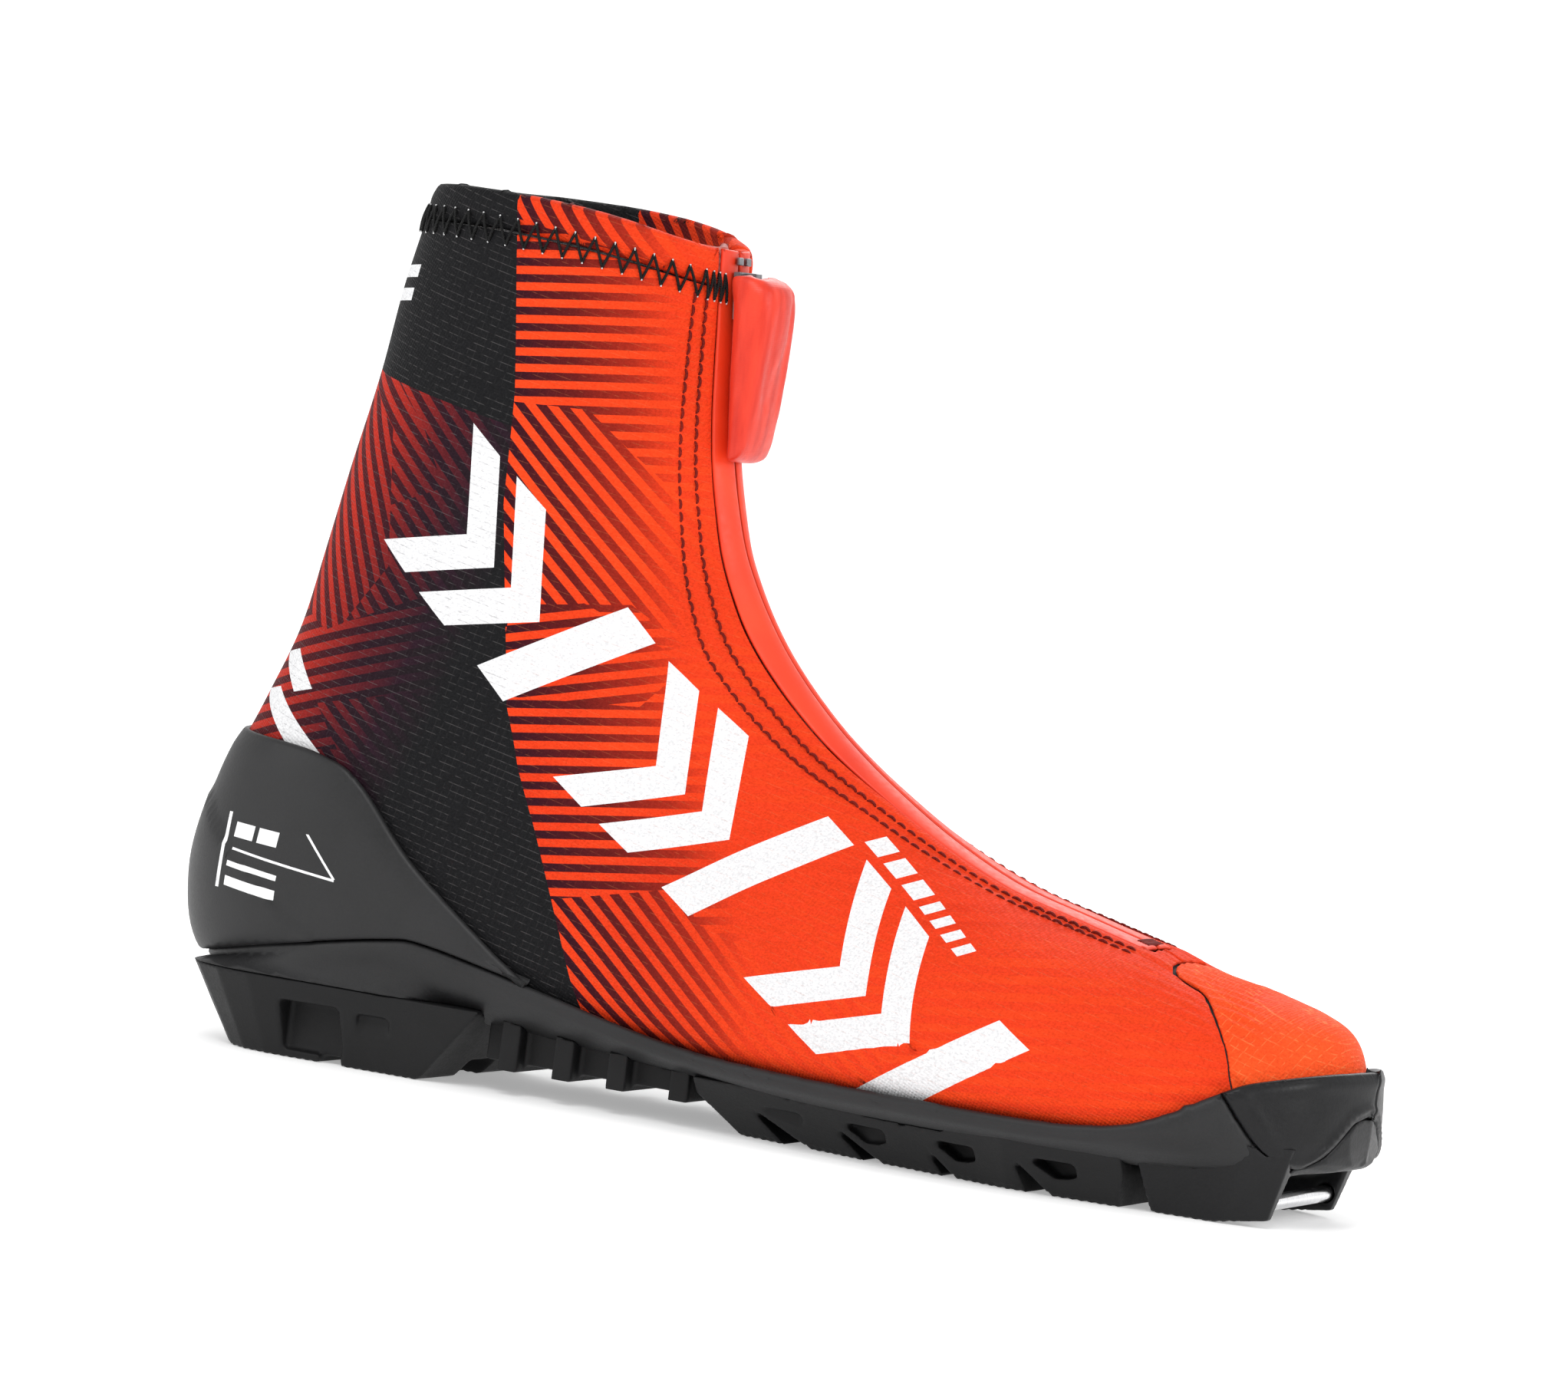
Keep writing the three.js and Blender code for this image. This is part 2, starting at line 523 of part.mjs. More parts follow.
// ---------------------------------------------------------------- inside of the upper
const insideSlot = ridgeStrip(ZIP_END - 0.05, -ZIP_HALF - 1, ZIP_HALF + 1);
const TOE_PUFF_EDGE = line([[110, -30], [110, 90]]);
const VAMP_EDGE = line([[-42, -30], [-38, 20], [-8, 120], [-8, 140]]);
const STIFFENER_EDGE = line([[-80, -30], [-80, 90]]);
const STIFFENER_TOP = line([[-175, 78], [60, 78]]);
const CUFF_EDGE = line([[-175, 142], [175, 142]]);
const pads = () => cut(keep(shell(...PAD), belowBand, above(FOOTBED_EDGE, GAP)), insideSlot);
const half = (sign) => (sign < 0 ? lateralHalf(GAP / 2) : medialHalf(GAP / 2));
const toePuff = () => keep(pads(), ahead(TOE_PUFF_EDGE, GAP / 2));
const vampFoam = (sign) =>
  keep(pads(), behind(TOE_PUFF_EDGE, GAP / 2), ahead(VAMP_EDGE, GAP / 2), below(CUFF_EDGE), half(sign));
const heelCup = keep(behind(STIFFENER_EDGE, GAP / 2), below(STIFFENER_TOP, GAP / 2));
const heelStiffener = () => keep(pads(), heelCup);
const heelCupRoom = keep(behind(STIFFENER_EDGE, -GAP / 2), below(STIFFENER_TOP, -GAP / 2));
const anklePad = (sign) =>
  cut(keep(pads(), behind(VAMP_EDGE, GAP / 2), below(CUFF_EDGE, GAP / 2), half(sign)), heelCupRoom);
const cuffPad = (sign) => keep(pads(), above(CUFF_EDGE, GAP / 2), half(sign));
const liner = () => cut(keep(shell(...LINER), belowBand, above(FOOTBED_EDGE, GAP)), insideSlot);
const footbed = () => keep(shell(...FOOTBED), below(FOOTBED_EDGE));
const shankPlate = () => keep(shell(...SHANK), below(LASTING_EDGE));

// ---------------------------------------------------------------- sole unit
const ARCH_HALF = SLOT_WIDTH / 2 + 0.6;
const ARCH_TOP = [[-1, 13.5], [-0.66, 19], [-0.32, 24.5], [0, 26], [0.32, 24.5], [0.66, 19], [1, 13.5]];
const archCurve = new THREE.SplineCurve(
  ARCH_TOP.map(([share, z]) => new THREE.Vector2((share * SLOT_WIDTH) / 2, z)),
);
const TONGUE_ARCH = [
  [-ARCH_HALF, -10], [-ARCH_HALF, 12.6],
  ...archCurve.getPoints(12).map((p) => [p.x, p.y]),
  [ARCH_HALF, 12.6], [ARCH_HALF, -10],
];
const arch = (gap) => {
  const grow = (v) => (v === 0 ? 0 : v + Math.sign(v) * gap);
  const outline = TONGUE_ARCH.map(([y, z]) => new THREE.Vector2(grow(y), z < 0 ? z : zAt(z) + gap));
  return front(outline, xAt(131) - gap, 200);
};
const solePart = (walls) => keep(shell(...walls), below(FEATHER));
const outsoleFrame = () => cut(keep(solePart(RAND), behind(CAP_SEAM, GAP / 2)), arch(GAP));
const toeBumper = () => cut(keep(solePart(BUMPER), ahead(CAP_SEAM, GAP / 2)), arch(GAP));
const underSole = last(RAND[0] - GAP);

// plan outlines with rounded corners, mirrored about the boot's middle
function rounded(back, front, backHalf, frontHalf, corner) {
  const steps = 4;
  const near = [];
  for (let k = 0; k <= steps; k++) {
    const turn = (Math.PI / 2) * (k / steps);
    const x = xAt(back) + corner * (1 - Math.cos(turn));
    near.push(new THREE.Vector2(x, yAt(backHalf) - corner + corner * Math.sin(turn)));
  }
  near.push(new THREE.Vector2(xAt(front), yAt(frontHalf)));
  return [...near.map((p) => new THREE.Vector2(p.x, -p.y)), ...near.reverse()];
}
const channel = () => box([-FAR, xAt(112)], [-CHANNEL_WIDTH / 2, CHANNEL_WIDTH / 2], [-9, CHANNEL_DEPTH]);
const bothSides = (make) => join(make(-1), make(1));
const TREAD_TOP = 19;

function heelTread() {
  const block = tapered(
    rounded(-131.5, -75, 26, 26, 16), 0,
    rounded(-142.4, -58, 34.5, 33, 24), TREAD_TOP,
  );
  const recess = bothSides((sign) => join(
    box([xAt(-110.5), xAt(-95)], signed(sign, yAt(25), REACH), [2, 14]),
    box([xAt(-90.5), xAt(-82)], signed(sign, yAt(29), REACH), [5, 13.5]),
  ));
  const notch = box([xAt(-101), xAt(-95.5)], [-REACH, REACH], [-9, 2]);
  return cut(block, underSole, recess, notch, channel());
}

const RUNGS = [-54, -40, -26.2, -10];
const RUNG_LENGTH = 5;
function midfootBridge() {
  const across = (half) => [yAt(-half), yAt(half)];
  const plate = box([xAt(-59), xAt(-9.5)], across(24), [7.6, TREAD_TOP]);
  const windows = RUNGS.slice(1).map((x, i) =>
    box([xAt(RUNGS[i]) + RUNG_LENGTH, xAt(x) - 0.6], across(18.5), [-9, 40]),
  );
  const rungs = RUNGS.map((x) => box([xAt(x), xAt(x) + RUNG_LENGTH], across(28), [6, TREAD_TOP]));
  return cut(join(cut(plate, ...windows), ...rungs), underSole, channel());
}

// each lug leans forwards and down from the sole's edge; the next starts where it ends
const LUG_ROOTS = [-3, 11.1, 32.9, 56.4, 80.5, 106.3];
const LUG_FEET = [[6.6, 18.4], [25.8, 39.9], [44.8, 61.1], [64.3, 82.1], [87.8, 103.6]];
function forefootTread() {
  const teeth = [[LUG_ROOTS[0], 9]];
  LUG_FEET.forEach(([heel, toe], i) => teeth.push([heel, 0], [toe, 0], [LUG_ROOTS[i + 1] - 0.8, 8.2]));
  const outline = upright(teeth);
  const [head, tail] = [outline[0], outline[outline.length - 1]];
  const saw = side([...outline, new THREE.Vector2(tail.x, TREAD_TOP), new THREE.Vector2(head.x, TREAD_TOP)]);
  const sole = (backHalf, ballHalf, frontHalf) => {
    const near = [[-4, backHalf], [35, (backHalf + ballHalf) / 2], [78, ballHalf], [108, frontHalf]];
    return [...flat(near.map(([x, y]) => [x, -y])), ...flat(near).reverse()];
  };
  const block = tapered(sole(20, 32, 28), 0, sole(32, 42, 37), 13);
  const pockets = LUG_ROOTS.slice(1, -1).map((root) => {
    const notch = upright([[root + 2.5, 8.6], [root + 14, 8.6], [root + 14, 5.2], [root + 9, 4.4]]);
    return bothSides((sign) => side(notch, ...signed(sign, yAt(29), REACH)));
  });
  return cut(keep(saw, block), underSole, channel(), ...pockets);
}

function bindingBlock() {
  const high = 19;
  const outline = (back, front, backHalf, frontHalf, nose) =>
    flat([[back, -backHalf], [front - 9, -frontHalf], [front, -nose], [front, nose], [front - 9, frontHalf],
      [back, backHalf]]);
  const base = tapered(outline(110.6, 136, 27, 25, 21.5), 0, outline(106.9, 141.6, 38, 30, 24), high);
  const sunk = cut(base, underSole, keep(last(BUMPER[0] - GAP), ahead(CAP_SEAM, -GAP)));
  const lip = cut(keep(join(base, last(BUMPER[0])), arch(0)), last(-GAP));
  const roof = upright([[124, -9], [124, 8.2], [131, 9.6], [138, 12.2], [160, 16.4], [160, -9]]);
  const slot = side(roof, -SLOT_WIDTH / 2, SLOT_WIDTH / 2);
  const spring = upright([[118, -1], [150, -1], [150, 4]]);
  const seat = barAlong(BAR.radius + GAP, SLOT_WIDTH / 2 + BAR.seat + GAP);
  return cut(join(sunk, lip), slot, side(spring), seat);
}
function barAlong(radius, half) {
  const rod = new THREE.CylinderGeometry(radius, radius, 2 * half, 16);
  return solid(rod.translate(xAt(BAR.x), 0, BAR.z));
}
const bindingBar = () => barAlong(BAR.radius, SLOT_WIDTH / 2 + BAR.seat);

// ---------------------------------------------------------------- the boot
const PIECES = [
  ['outsole_frame', outsoleFrame(), RUBBER],
  ['toe_bumper', toeBumper(), DARK],
  ['heel_tread', heelTread(), RUBBER],
  ['midfoot_bridge', midfootBridge(), RUBBER],
  ['forefoot_tread', forefootTread(), RUBBER],
  ['binding_block', bindingBlock(), DARK],
  ['binding_bar', bindingBar(), STEEL],
  ['shank_plate', shankPlate(), DARK],
  ['lasting_board', lastingBoard(), FOAM],
  ['footbed', footbed(), FOAM],
  ['heel_counter', heelCounter(), DARK],
  ['quarter_lateral', quarterLateral(), RED],
  ['quarter_medial', quarterMedial(), RED],
  ['toe_panel', toePanel(), RED],
  ['collar_band', collarBand(), RED],
  ['collar_stitching', collarStitching(), DARK],
  ['zip_tape_lateral', tape(-1), RED],
  ['zip_tape_medial', tape(1), RED],
  ['zip_coil_lateral', coil(-1), DARK],
  ['zip_coil_medial', coil(1), DARK],
  ['zip_slider', zipSlider(), STEEL],
  ['zip_bail', zipBail(), STEEL],
  ['zip_pull_tab', zipPullTab(), RED],
  ['zip_top_stop_lateral', topStop(-1), STEEL],
  ['zip_top_stop_medial', topStop(1), STEEL],
  ['zip_bottom_stop', bottomStop(), RED],
  ['tongue', tongue(), FOAM],
  ['liner', liner(), FOAM],
  ['toe_puff', toePuff(), DARK],
  ['heel_stiffener', heelStiffener(), DARK],
  ['vamp_foam_lateral', vampFoam(-1), FOAM],
  ['vamp_foam_medial', vampFoam(1), FOAM],
  ['ankle_pad_lateral', anklePad(-1), FOAM],
  ['ankle_pad_medial', anklePad(1), FOAM],
  ['cuff_pad_lateral', cuffPad(-1), FOAM],
  ['cuff_pad_medial', cuffPad(1), FOAM],
];

const boot = new THREE.Group();
for (const [name, body, look] of PIECES) {
  const { vertProperties, triVerts } = body.getMesh();
  const geometry = new THREE.BufferGeometry();
  geometry.setAttribute('position', new THREE.BufferAttribute(vertProperties, 3));
  geometry.setIndex(new THREE.BufferAttribute(triVerts, 1));
  const mesh = new THREE.Mesh(geometry, new THREE.MeshStandardMaterial(look));
  mesh.name = name;
  boot.add(mesh);
}

// the boot stands centred over its origin
const around = new THREE.Box3().setFromObject(boot);
const centre = around.getCenter(new THREE.Vector3());
boot.position.set(-centre.x, -centre.y, -around.min.z);
boot.updateMatrixWorld(true);

export default boot;
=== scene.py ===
"""Looks of the cross country ski boot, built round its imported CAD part."""

import bpy
import bmesh
import math
import numpy as np
from mathutils.kdtree import KDTree
from mathutils import Matrix, Vector


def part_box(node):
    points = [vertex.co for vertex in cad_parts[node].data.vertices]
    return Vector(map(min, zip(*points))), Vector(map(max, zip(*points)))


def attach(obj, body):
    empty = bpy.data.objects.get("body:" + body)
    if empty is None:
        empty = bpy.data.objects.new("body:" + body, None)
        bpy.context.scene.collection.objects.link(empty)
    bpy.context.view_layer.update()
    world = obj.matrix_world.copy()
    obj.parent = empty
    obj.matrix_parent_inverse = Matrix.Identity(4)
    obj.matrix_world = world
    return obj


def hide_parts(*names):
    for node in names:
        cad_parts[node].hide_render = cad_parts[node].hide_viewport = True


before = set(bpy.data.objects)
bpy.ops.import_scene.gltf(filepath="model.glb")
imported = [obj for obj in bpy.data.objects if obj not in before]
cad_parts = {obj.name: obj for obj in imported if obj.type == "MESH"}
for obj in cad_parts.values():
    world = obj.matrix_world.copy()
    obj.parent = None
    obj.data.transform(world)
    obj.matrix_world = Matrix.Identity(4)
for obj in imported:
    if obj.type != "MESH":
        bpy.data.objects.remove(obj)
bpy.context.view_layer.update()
MM = 0.001  # the lengths below are in mm, and Blender's are in metres

# ------------------------------------------------------------------ the boot's skin
# Sections that fan from the toe to the collar, as in the CAD source: sole x, z, ridge x, z, half
# width lateral, medial, widest at, exponent low, high, centre y.
SECTIONS = np.array([
    [146.2, 19.0, 146.4, 33.2, 0.0, 0.0, 0.35, 3.5, 2.2, 2.5],
    [142.7, 16.8, 141.0, 43.3, 17.0, 17.0, 0.35, 3.5, 2.2, 2.4],
    [134.7, 15.0, 132.1, 47.6, 27.5, 28.0, 0.35, 3.6, 2.2, 2.0],
    [120.2, 13.2, 116.1, 51.1, 36.5, 37.5, 0.36, 3.8, 2.2, 1.2],
    [100.2, 12.3, 98.1, 55.7, 42.5, 43.0, 0.36, 4.0, 2.1, 0.4],
    [78.2, 12.0, 78.0, 60.7, 45.5, 45.5, 0.35, 4.0, 2.0, 0.0],
    [52.2, 12.0, 58.9, 65.7, 45.0, 44.5, 0.33, 4.0, 1.95, 0.0],
    [22.2, 12.4, 41.0, 73.7, 41.5, 39.5, 0.31, 4.0, 1.9, 0.0],
    [-11.8, 14.6, 25.3, 83.0, 37.5, 34.5, 0.3, 3.8, 1.85, 0.0],
    [-45.8, 16.2, 12.8, 91.8, 34.5, 32.0, 0.3, 3.5, 1.8, 0.0],
    [-81.8, 17.2, 2.8, 100.5, 34.0, 32.5, 0.31, 3.0, 1.8, 0.0],
    [-115.0, 17.0, -5.1, 108.8, 34.5, 33.5, 0.33, 2.6, 1.8, 0.0],
    [-140.0, 20.4, -11.0, 116.5, 34.5, 34.0, 0.36, 2.4, 1.8, 0.0],
    [-147.2, 38.5, -15.8, 124.1, 34.5, 34.0, 0.4, 2.3, 1.8, 0.0],
    [-143.9, 60.2, -19.9, 132.2, 34.5, 34.0, 0.42, 2.2, 1.8, 0.0],
    [-136.1, 80.2, -23.1, 141.8, 34.0, 34.0, 0.44, 2.2, 1.8, 0.0],
    [-129.4, 98.1, -25.8, 152.5, 33.5, 33.5, 0.45, 2.2, 1.8, 0.0],
    [-125.2, 118.1, -27.7, 164.0, 33.0, 33.0, 0.46, 2.2, 1.85, 0.0],
    [-121.0, 139.0, -28.9, 175.0, 33.0, 33.0, 0.46, 2.2, 1.9, 0.0],
    [-115.8, 162.0, -29.8, 184.6, 33.5, 33.5, 0.47, 2.2, 1.9, 0.0],
    [-112.0, 184.9, -30.7, 192.6, 34.5, 34.5, 0.47, 2.2, 1.95, 0.0],
    [-106.8, 207.9, -31.4, 200.1, 35.5, 35.5, 0.48, 2.2, 2.0, 0.0],
])
TOP = len(SECTIONS) - 1
ROUND_TOE_TO = 5
SHIFT = -0.117  # centres the boot over its origin
MIRRORED = np.where(np.isin(np.arange(10), (4, 5)), -1, 1)
PADDED = np.vstack([
    SECTIONS[1] * MIRRORED,
    SECTIONS,
    2 * SECTIONS[-1] - SECTIONS[-2],
    3 * SECTIONS[-1] - 2 * SECTIONS[-2],
])


def section_rows(s):
    i = np.clip(np.floor(s).astype(int), 0, TOP)
    t = (s - i)[:, None]
    p0, p1, p2, p3 = (PADDED[i + k] for k in range(4))
    cube = 3 * p1 - p0 - 3 * p2 + p3
    return p1 + 0.5 * t * (p2 - p0 + t * (2 * p0 - 5 * p1 + 4 * p2 - p3 + t * cube))


def toe_lean(s):
    a, b = section_rows(np.maximum(s - 0.05, 0)), section_rows(s + 0.05)
    run = (a[:, 0] + a[:, 2] - b[:, 0] - b[:, 2]) / 2
    widen = np.maximum((b[:, 4] + b[:, 5] - a[:, 4] - a[:, 5]) / 2, 0)
    k = np.clip(ROUND_TOE_TO - s, 0, 1)
    back = widen / np.hypot(run, widen) * k * k * (3 - 2 * k)
    back = np.where(s >= ROUND_TOE_TO, 0, back)
    return back, np.sqrt(1 - back * back)


def ring_points(rows, lean, angle, side, depth):
    across = rows[:, 2:4] - rows[:, 0:2]
    full = np.hypot(across[:, 0], across[:, 1])
    e = across / full[:, None]
    length = full - 2 * depth
    half = np.where(side < 0, rows[:, 4], rows[:, 5]) - depth * lean[1]
    power = 2 / np.where(angle < math.pi / 2, rows[:, 7], rows[:, 8])
    c = np.cos(angle)
    reach = np.abs(c) ** power
    widest = rows[:, 6]
    up = length * np.where(c > 0, widest * (1 - reach), widest + (1 - widest) * reach)
    y = rows[:, 9] + side * np.maximum(half, 0) * np.abs(np.sin(angle)) ** power
    x = rows[:, 0] + e[:, 0] * (depth + up) - depth * lean[0] + SHIFT
    return np.stack([x, y, rows[:, 1] + e[:, 1] * (depth + up)], 1)


# the angle for each share of the way round a half section, on a grid of sections
TABLE_STEP, TABLE_ROUND = 0.25, 64
table_s = np.arange(0, TOP + 1.01, TABLE_STEP)
ANGLES = np.zeros((len(table_s), TABLE_ROUND + 1))
fine = np.linspace(0, math.pi, 721)
for k, s in enumerate(table_s):
    one = np.full(len(fine), s)
    p = ring_points(section_rows(one), toe_lean(one), fine, np.full(len(fine), -1), 0)
    run = np.r_[0, np.cumsum(np.linalg.norm(np.diff(p, axis=0), axis=1))]
    ANGLES[k] = np.interp(np.linspace(0, run[-1], TABLE_ROUND + 1), run, fine)


def skin(s, a, depth=0.0):
    """Points of the skin in mm. s is the section, a goes from the sole (0) up the lateral side to
    the ridge (1) and down the medial side (2), and depth is inwards."""
    s = np.clip(np.asarray(s, float), 0, TOP + 1)
    side = np.where(a <= 1, -1, 1)
    t = np.clip(np.where(a <= 1, a, 2 - a), 0, 1) * TABLE_ROUND
    row, col = s / TABLE_STEP, t
    i = np.clip(row.astype(int), 0, len(table_s) - 2)
    j = np.clip(col.astype(int), 0, TABLE_ROUND - 1)
    u, v = row - i, col - j
    angle = (
        ANGLES[i, j] * (1 - u) * (1 - v) + ANGLES[i + 1, j] * u * (1 - v)
        + ANGLES[i, j + 1] * (1 - u) * v + ANGLES[i + 1, j + 1] * u * v
    )
    return ring_points(section_rows(s), toe_lean(s), angle, side, depth)


# ------------------------------------------------------------------ lines seen from the side
def spline(points, steps=60):
    p = np.array(points, float)
    q = np.vstack([2 * p[0] - p[1], p, 2 * p[-1] - p[-2]])
    out = []
    for t in np.linspace(0, len(p) - 1 - 1e-9, steps):
        i = int(t)
        f = t - i
        a, b, c, d = q[i:i + 4]
        cube = 3 * b - a - 3 * c + d
        out.append(b + 0.5 * f * (c - a + f * (2 * a - 5 * b + 4 * c - d + f * cube)))
    return np.array(out)


def level_line(z):
    return np.array([[-175, z], [175, z]], float)


# where the upper meets the sole
FEATHER = spline([
    [-175, 17], [-144.7, 19.5], [-114.3, 25.7], [-84, 31.6], [-72, 31.8], [-43.4, 26.1],
    [-6.1, 18.3], [24.2, 17.1], [57.2, 17], [86.6, 17], [103.5, 18.8], [114.3, 22.6],
    [126.5, 29.9], [133.4, 33.3], [149.4, 36.7], [175, 37.2],
], 90)
COUNTER_TOP = np.vstack([
    spline([
        [-175, 76.6], [-122.2, 74.5], [-104.2, 72.1], [-94.1, 67.1], [-78.5, 51], [-55.5, 33.3],
    ], 40),
    [[-44.3, 25.8], [-30, 16]],
])
COLLAR_TOP = np.vstack([
    spline([
        [-150, 209.5], [-106.5, 208.5], [-90.8, 208.5], [-70.3, 207.6], [-49.8, 205.2],
        [-29.1, 200.6],
    ], 40),
    [[-10, 195.8], [175, 195.8]],
])
TOE_SEAM = np.vstack([
    [[128, 0]],
    spline([[84, 82], [98.5, 57], [114.1, 49.2], [123.2, 40.3], [127.4, 30.9]], 30)[::-1],
])
CAP_SEAM = np.array([[140.5, -30], [139, 12.5], [126, 30.8], [118, 50]], float)
# behind this line the print is black
PRINT_EDGE = np.array([
    [-28, 10], [-32.4, 23.3], [-42.8, 47.2], [-50, 62.6], [-57, 76.2], [-62, 90.1],
    [-68.6, 136.8], [-69.1, 162.3], [-73, 208.3], [-73, 230],
])
LASTING = np.array([
    [-175, 25], [-132, 24.5], [-112, 21.6], [-82, 21], [-46, 20], [-12, 18.4], [22, 16],
    [78, 15.6], [120, 17], [146, 23], [175, 23],
])
FOOTBED_EDGE = LASTING + [0, 8]
RAND_LOW = spline([
    [-175, 16], [-130.8, 15.7], [-113.3, 17.9], [-95.3, 16.1], [-80.7, 15.6], [-68.7, 17.5],
    [-56.2, 16.3], [-39.9, 15.7], [-23.6, 14.6], [-5.4, 13.8], [4.5, 12.1], [24.4, 10.9],
    [44, 10.5], [63.4, 10.9], [85.9, 10.7], [110.3, 13], [124.2, 13.6], [145.3, 18.7],
    [175, 19],
], 80)


def beside(line, x, z):
    """Signed distance in mm from a line seen from the side: positive to the left of its way."""
    best = np.full(len(x), 1e9)
    sign = np.ones(len(x))
    for a, b in zip(line[:-1], line[1:]):
        d = b - a
        t = np.clip(((x - a[0]) * d[0] + (z - a[1]) * d[1]) / (d @ d), 0, 1)
        ex, ez = x - a[0] - t * d[0], z - a[1] - t * d[1]
        dist = np.hypot(ex, ez)
        cross = d[0] * ez - d[1] * ex
        # at a corner the segment whose side is clearer decides
        nearer = dist < best - 1e-9
        sign = np.where(nearer, np.where(cross >= 0, 1, -1), sign)
        best = np.where(nearer, dist, best)
    return best * sign


def above(line, gap=0.0, sign=1):
    """A level: positive at the points more than gap to the left of a line's way."""
    shifted = line + [SHIFT, 0]
    return lambda p: sign * beside(shifted, p[:, 0], p[:, 2]) - gap


def below(line, gap=0.0):
    return above(line, gap, -1)


ahead, behind = below, above  # for a line that runs upwards, its right side is ahead


def smooth(x, low, high):
    t = np.clip((x - low) / (high - low), 0, 1)
    return t * t * (3 - 2 * t)


# ------------------------------------------------------------------ patches of the skin
SECTION_GAP, HALF_GIRTH = 13.5, 125  # about how many mm lie between sections, and round half of one
TIP_ROWS = 14
ON_THE_CUT = 0.02  # points nearer to a cut than this count as inside it
ETCH_MARGIN = 4


class Patch:
    """A piece of the skin as triangles over (section, way round)."""

    def __init__(self, s_range, a_range, step=1.6, depth=0.0):
        (s0, s1), (a0, a1) = s_range, a_range
        ns = max(2, int((s1 - s0) * SECTION_GAP / step) + 1)
        s = np.linspace(s0, s1, ns)
        if s0 < 1:
            # the rows crowd together towards the tip of the toe
            s = s0 + (s1 - s0) * np.linspace(0, 1, ns + 12)
            near = np.linspace(0, 1, TIP_ROWS) ** 1.5
            s = np.unique(np.r_[near[near >= s0], s[s > 1.0]])
        na = max(3, int((a1 - a0) * HALF_GIRTH / step) + 1)
        a = np.linspace(a0, a1, na)
        grid_s, grid_a = np.meshgrid(s, a, indexing="ij")
        self.p = np.stack([grid_s.ravel(), grid_a.ravel()], 1)
        i, j = np.meshgrid(np.arange(len(s) - 1), np.arange(na - 1), indexing="ij")
        v = (i * na + j).ravel()
        quads = np.stack([v, v + 1, v + na + 1, v + na], 1)
        self.t = np.vstack([quads[:, [0, 1, 2]], quads[:, [0, 2, 3]]])
        self.depth = depth

    def points(self):
        return skin(self.p[:, 0], self.p[:, 1], self.depth)

    def cut(self, tris, level):
        """The triangles on the positive and on the negative side of level, cut where it is 0."""
        value = level(self.points())
        value = np.where(np.abs(value) < ON_THE_CUT, ON_THE_CUT, value)
        inside = value > 0
        count = inside[tris].sum(1)
        plus, minus = [tris[count == 3]], [tris[count == 0]]
        mixed = tris[(count == 1) | (count == 2)]
        self.split = {}
        if len(mixed) == 0:
            return plus[0], minus[0]
        lone = inside[mixed] == (inside[mixed].sum(1) == 1)[:, None]
        first = lone.argmax(1)
        rows = np.arange(len(mixed))
        a, b, c = (mixed[rows, (first + k) % 3] for k in range(3))
        edges = np.sort(np.vstack([np.stack([a, b], 1), np.stack([a, c], 1)]), 1)
        unique, where = np.unique(edges, axis=0, return_inverse=True)
        where = where.ravel()
        f0, f1 = value[unique[:, 0]], value[unique[:, 1]]
        t = (f0 / (f0 - f1))[:, None]
        base = len(self.p)
        self.split = {(u, v): base + k for k, (u, v) in enumerate(unique.tolist())}
        self.p = np.vstack([self.p, self.p[unique[:, 0]] * (1 - t) + self.p[unique[:, 1]] * t])
        ab, ac = base + where[:len(a)], base + where[len(a):]
        tip = np.stack([a, ab, ac], 1)
        rest = np.vstack([np.stack([ab, b, c], 1), np.stack([ab, c, ac], 1)])
        tip_in = inside[a]
        rest_in = np.r_[tip_in, tip_in]
        plus += [tip[tip_in], rest[~rest_in]]
        minus += [tip[~tip_in], rest[rest_in]]
        return np.vstack(plus), np.vstack(minus)

    def join(self, tris):
        """Splits the triangles that share an edge with ones just cut, so that no gap opens."""
        if not self.split:
            return tris
        touched = np.zeros(len(self.p), bool)
        touched[list({v for edge in self.split for v in edge})] = True
        near = touched[tris].sum(1) >= 2
        out = []
        for corners in tris[near].tolist():
            loop = []
            for a, b in zip(corners, corners[1:] + corners[:1]):
                loop.append(a)
                middle = self.split.get((min(a, b), max(a, b)))
                if middle is not None:
                    loop.append(middle)
            if len(loop) > 3:
                at = next(k for k, v in enumerate(loop) if v not in corners)
                loop = loop[at:] + loop[:at]
            out += [[loop[0], loop[k], loop[k + 1]] for k in range(1, len(loop) - 1)]
        return np.vstack([tris[~near], np.array(out, int).reshape(-1, 3)])

    def keep(self, *levels):
        for level in levels:
            self.t, _ = self.cut(self.t, level)
        used = np.unique(self.t)
        rename = np.zeros(len(self.p), int)
        rename[used] = np.arange(len(used))
        self.p, self.t = self.p[used], rename[self.t]
        return self

    def centres(self):
        return self.points()[self.t].mean(1)

    def etch(self, polygon, side=0):
        """Cuts the triangles along a polygon seen from the side, on one side or on both (0)."""
        poly = np.array(polygon, float)
        span = np.c_[poly.min(0) - ETCH_MARGIN, poly.max(0) + ETCH_MARGIN]
        for a, b in zip(poly, np.roll(poly, -1, 0)):
            c = self.centres()
            near = (
                (c[:, 0] > span[0, 0]) & (c[:, 0] < span[0, 1])
                & (c[:, 2] > span[1, 0]) & (c[:, 2] < span[1, 1])
            )
            if side:
                near &= c[:, 1] * side > 0
            d = (b - a) / np.hypot(*(b - a))
            flat = lambda p: d[0] * (p[:, 2] - a[1]) - d[1] * (p[:, 0] - a[0])
            plus, minus = self.cut(self.t[near], flat)
            self.t = np.vstack([self.join(self.t[~near]), plus, minus])


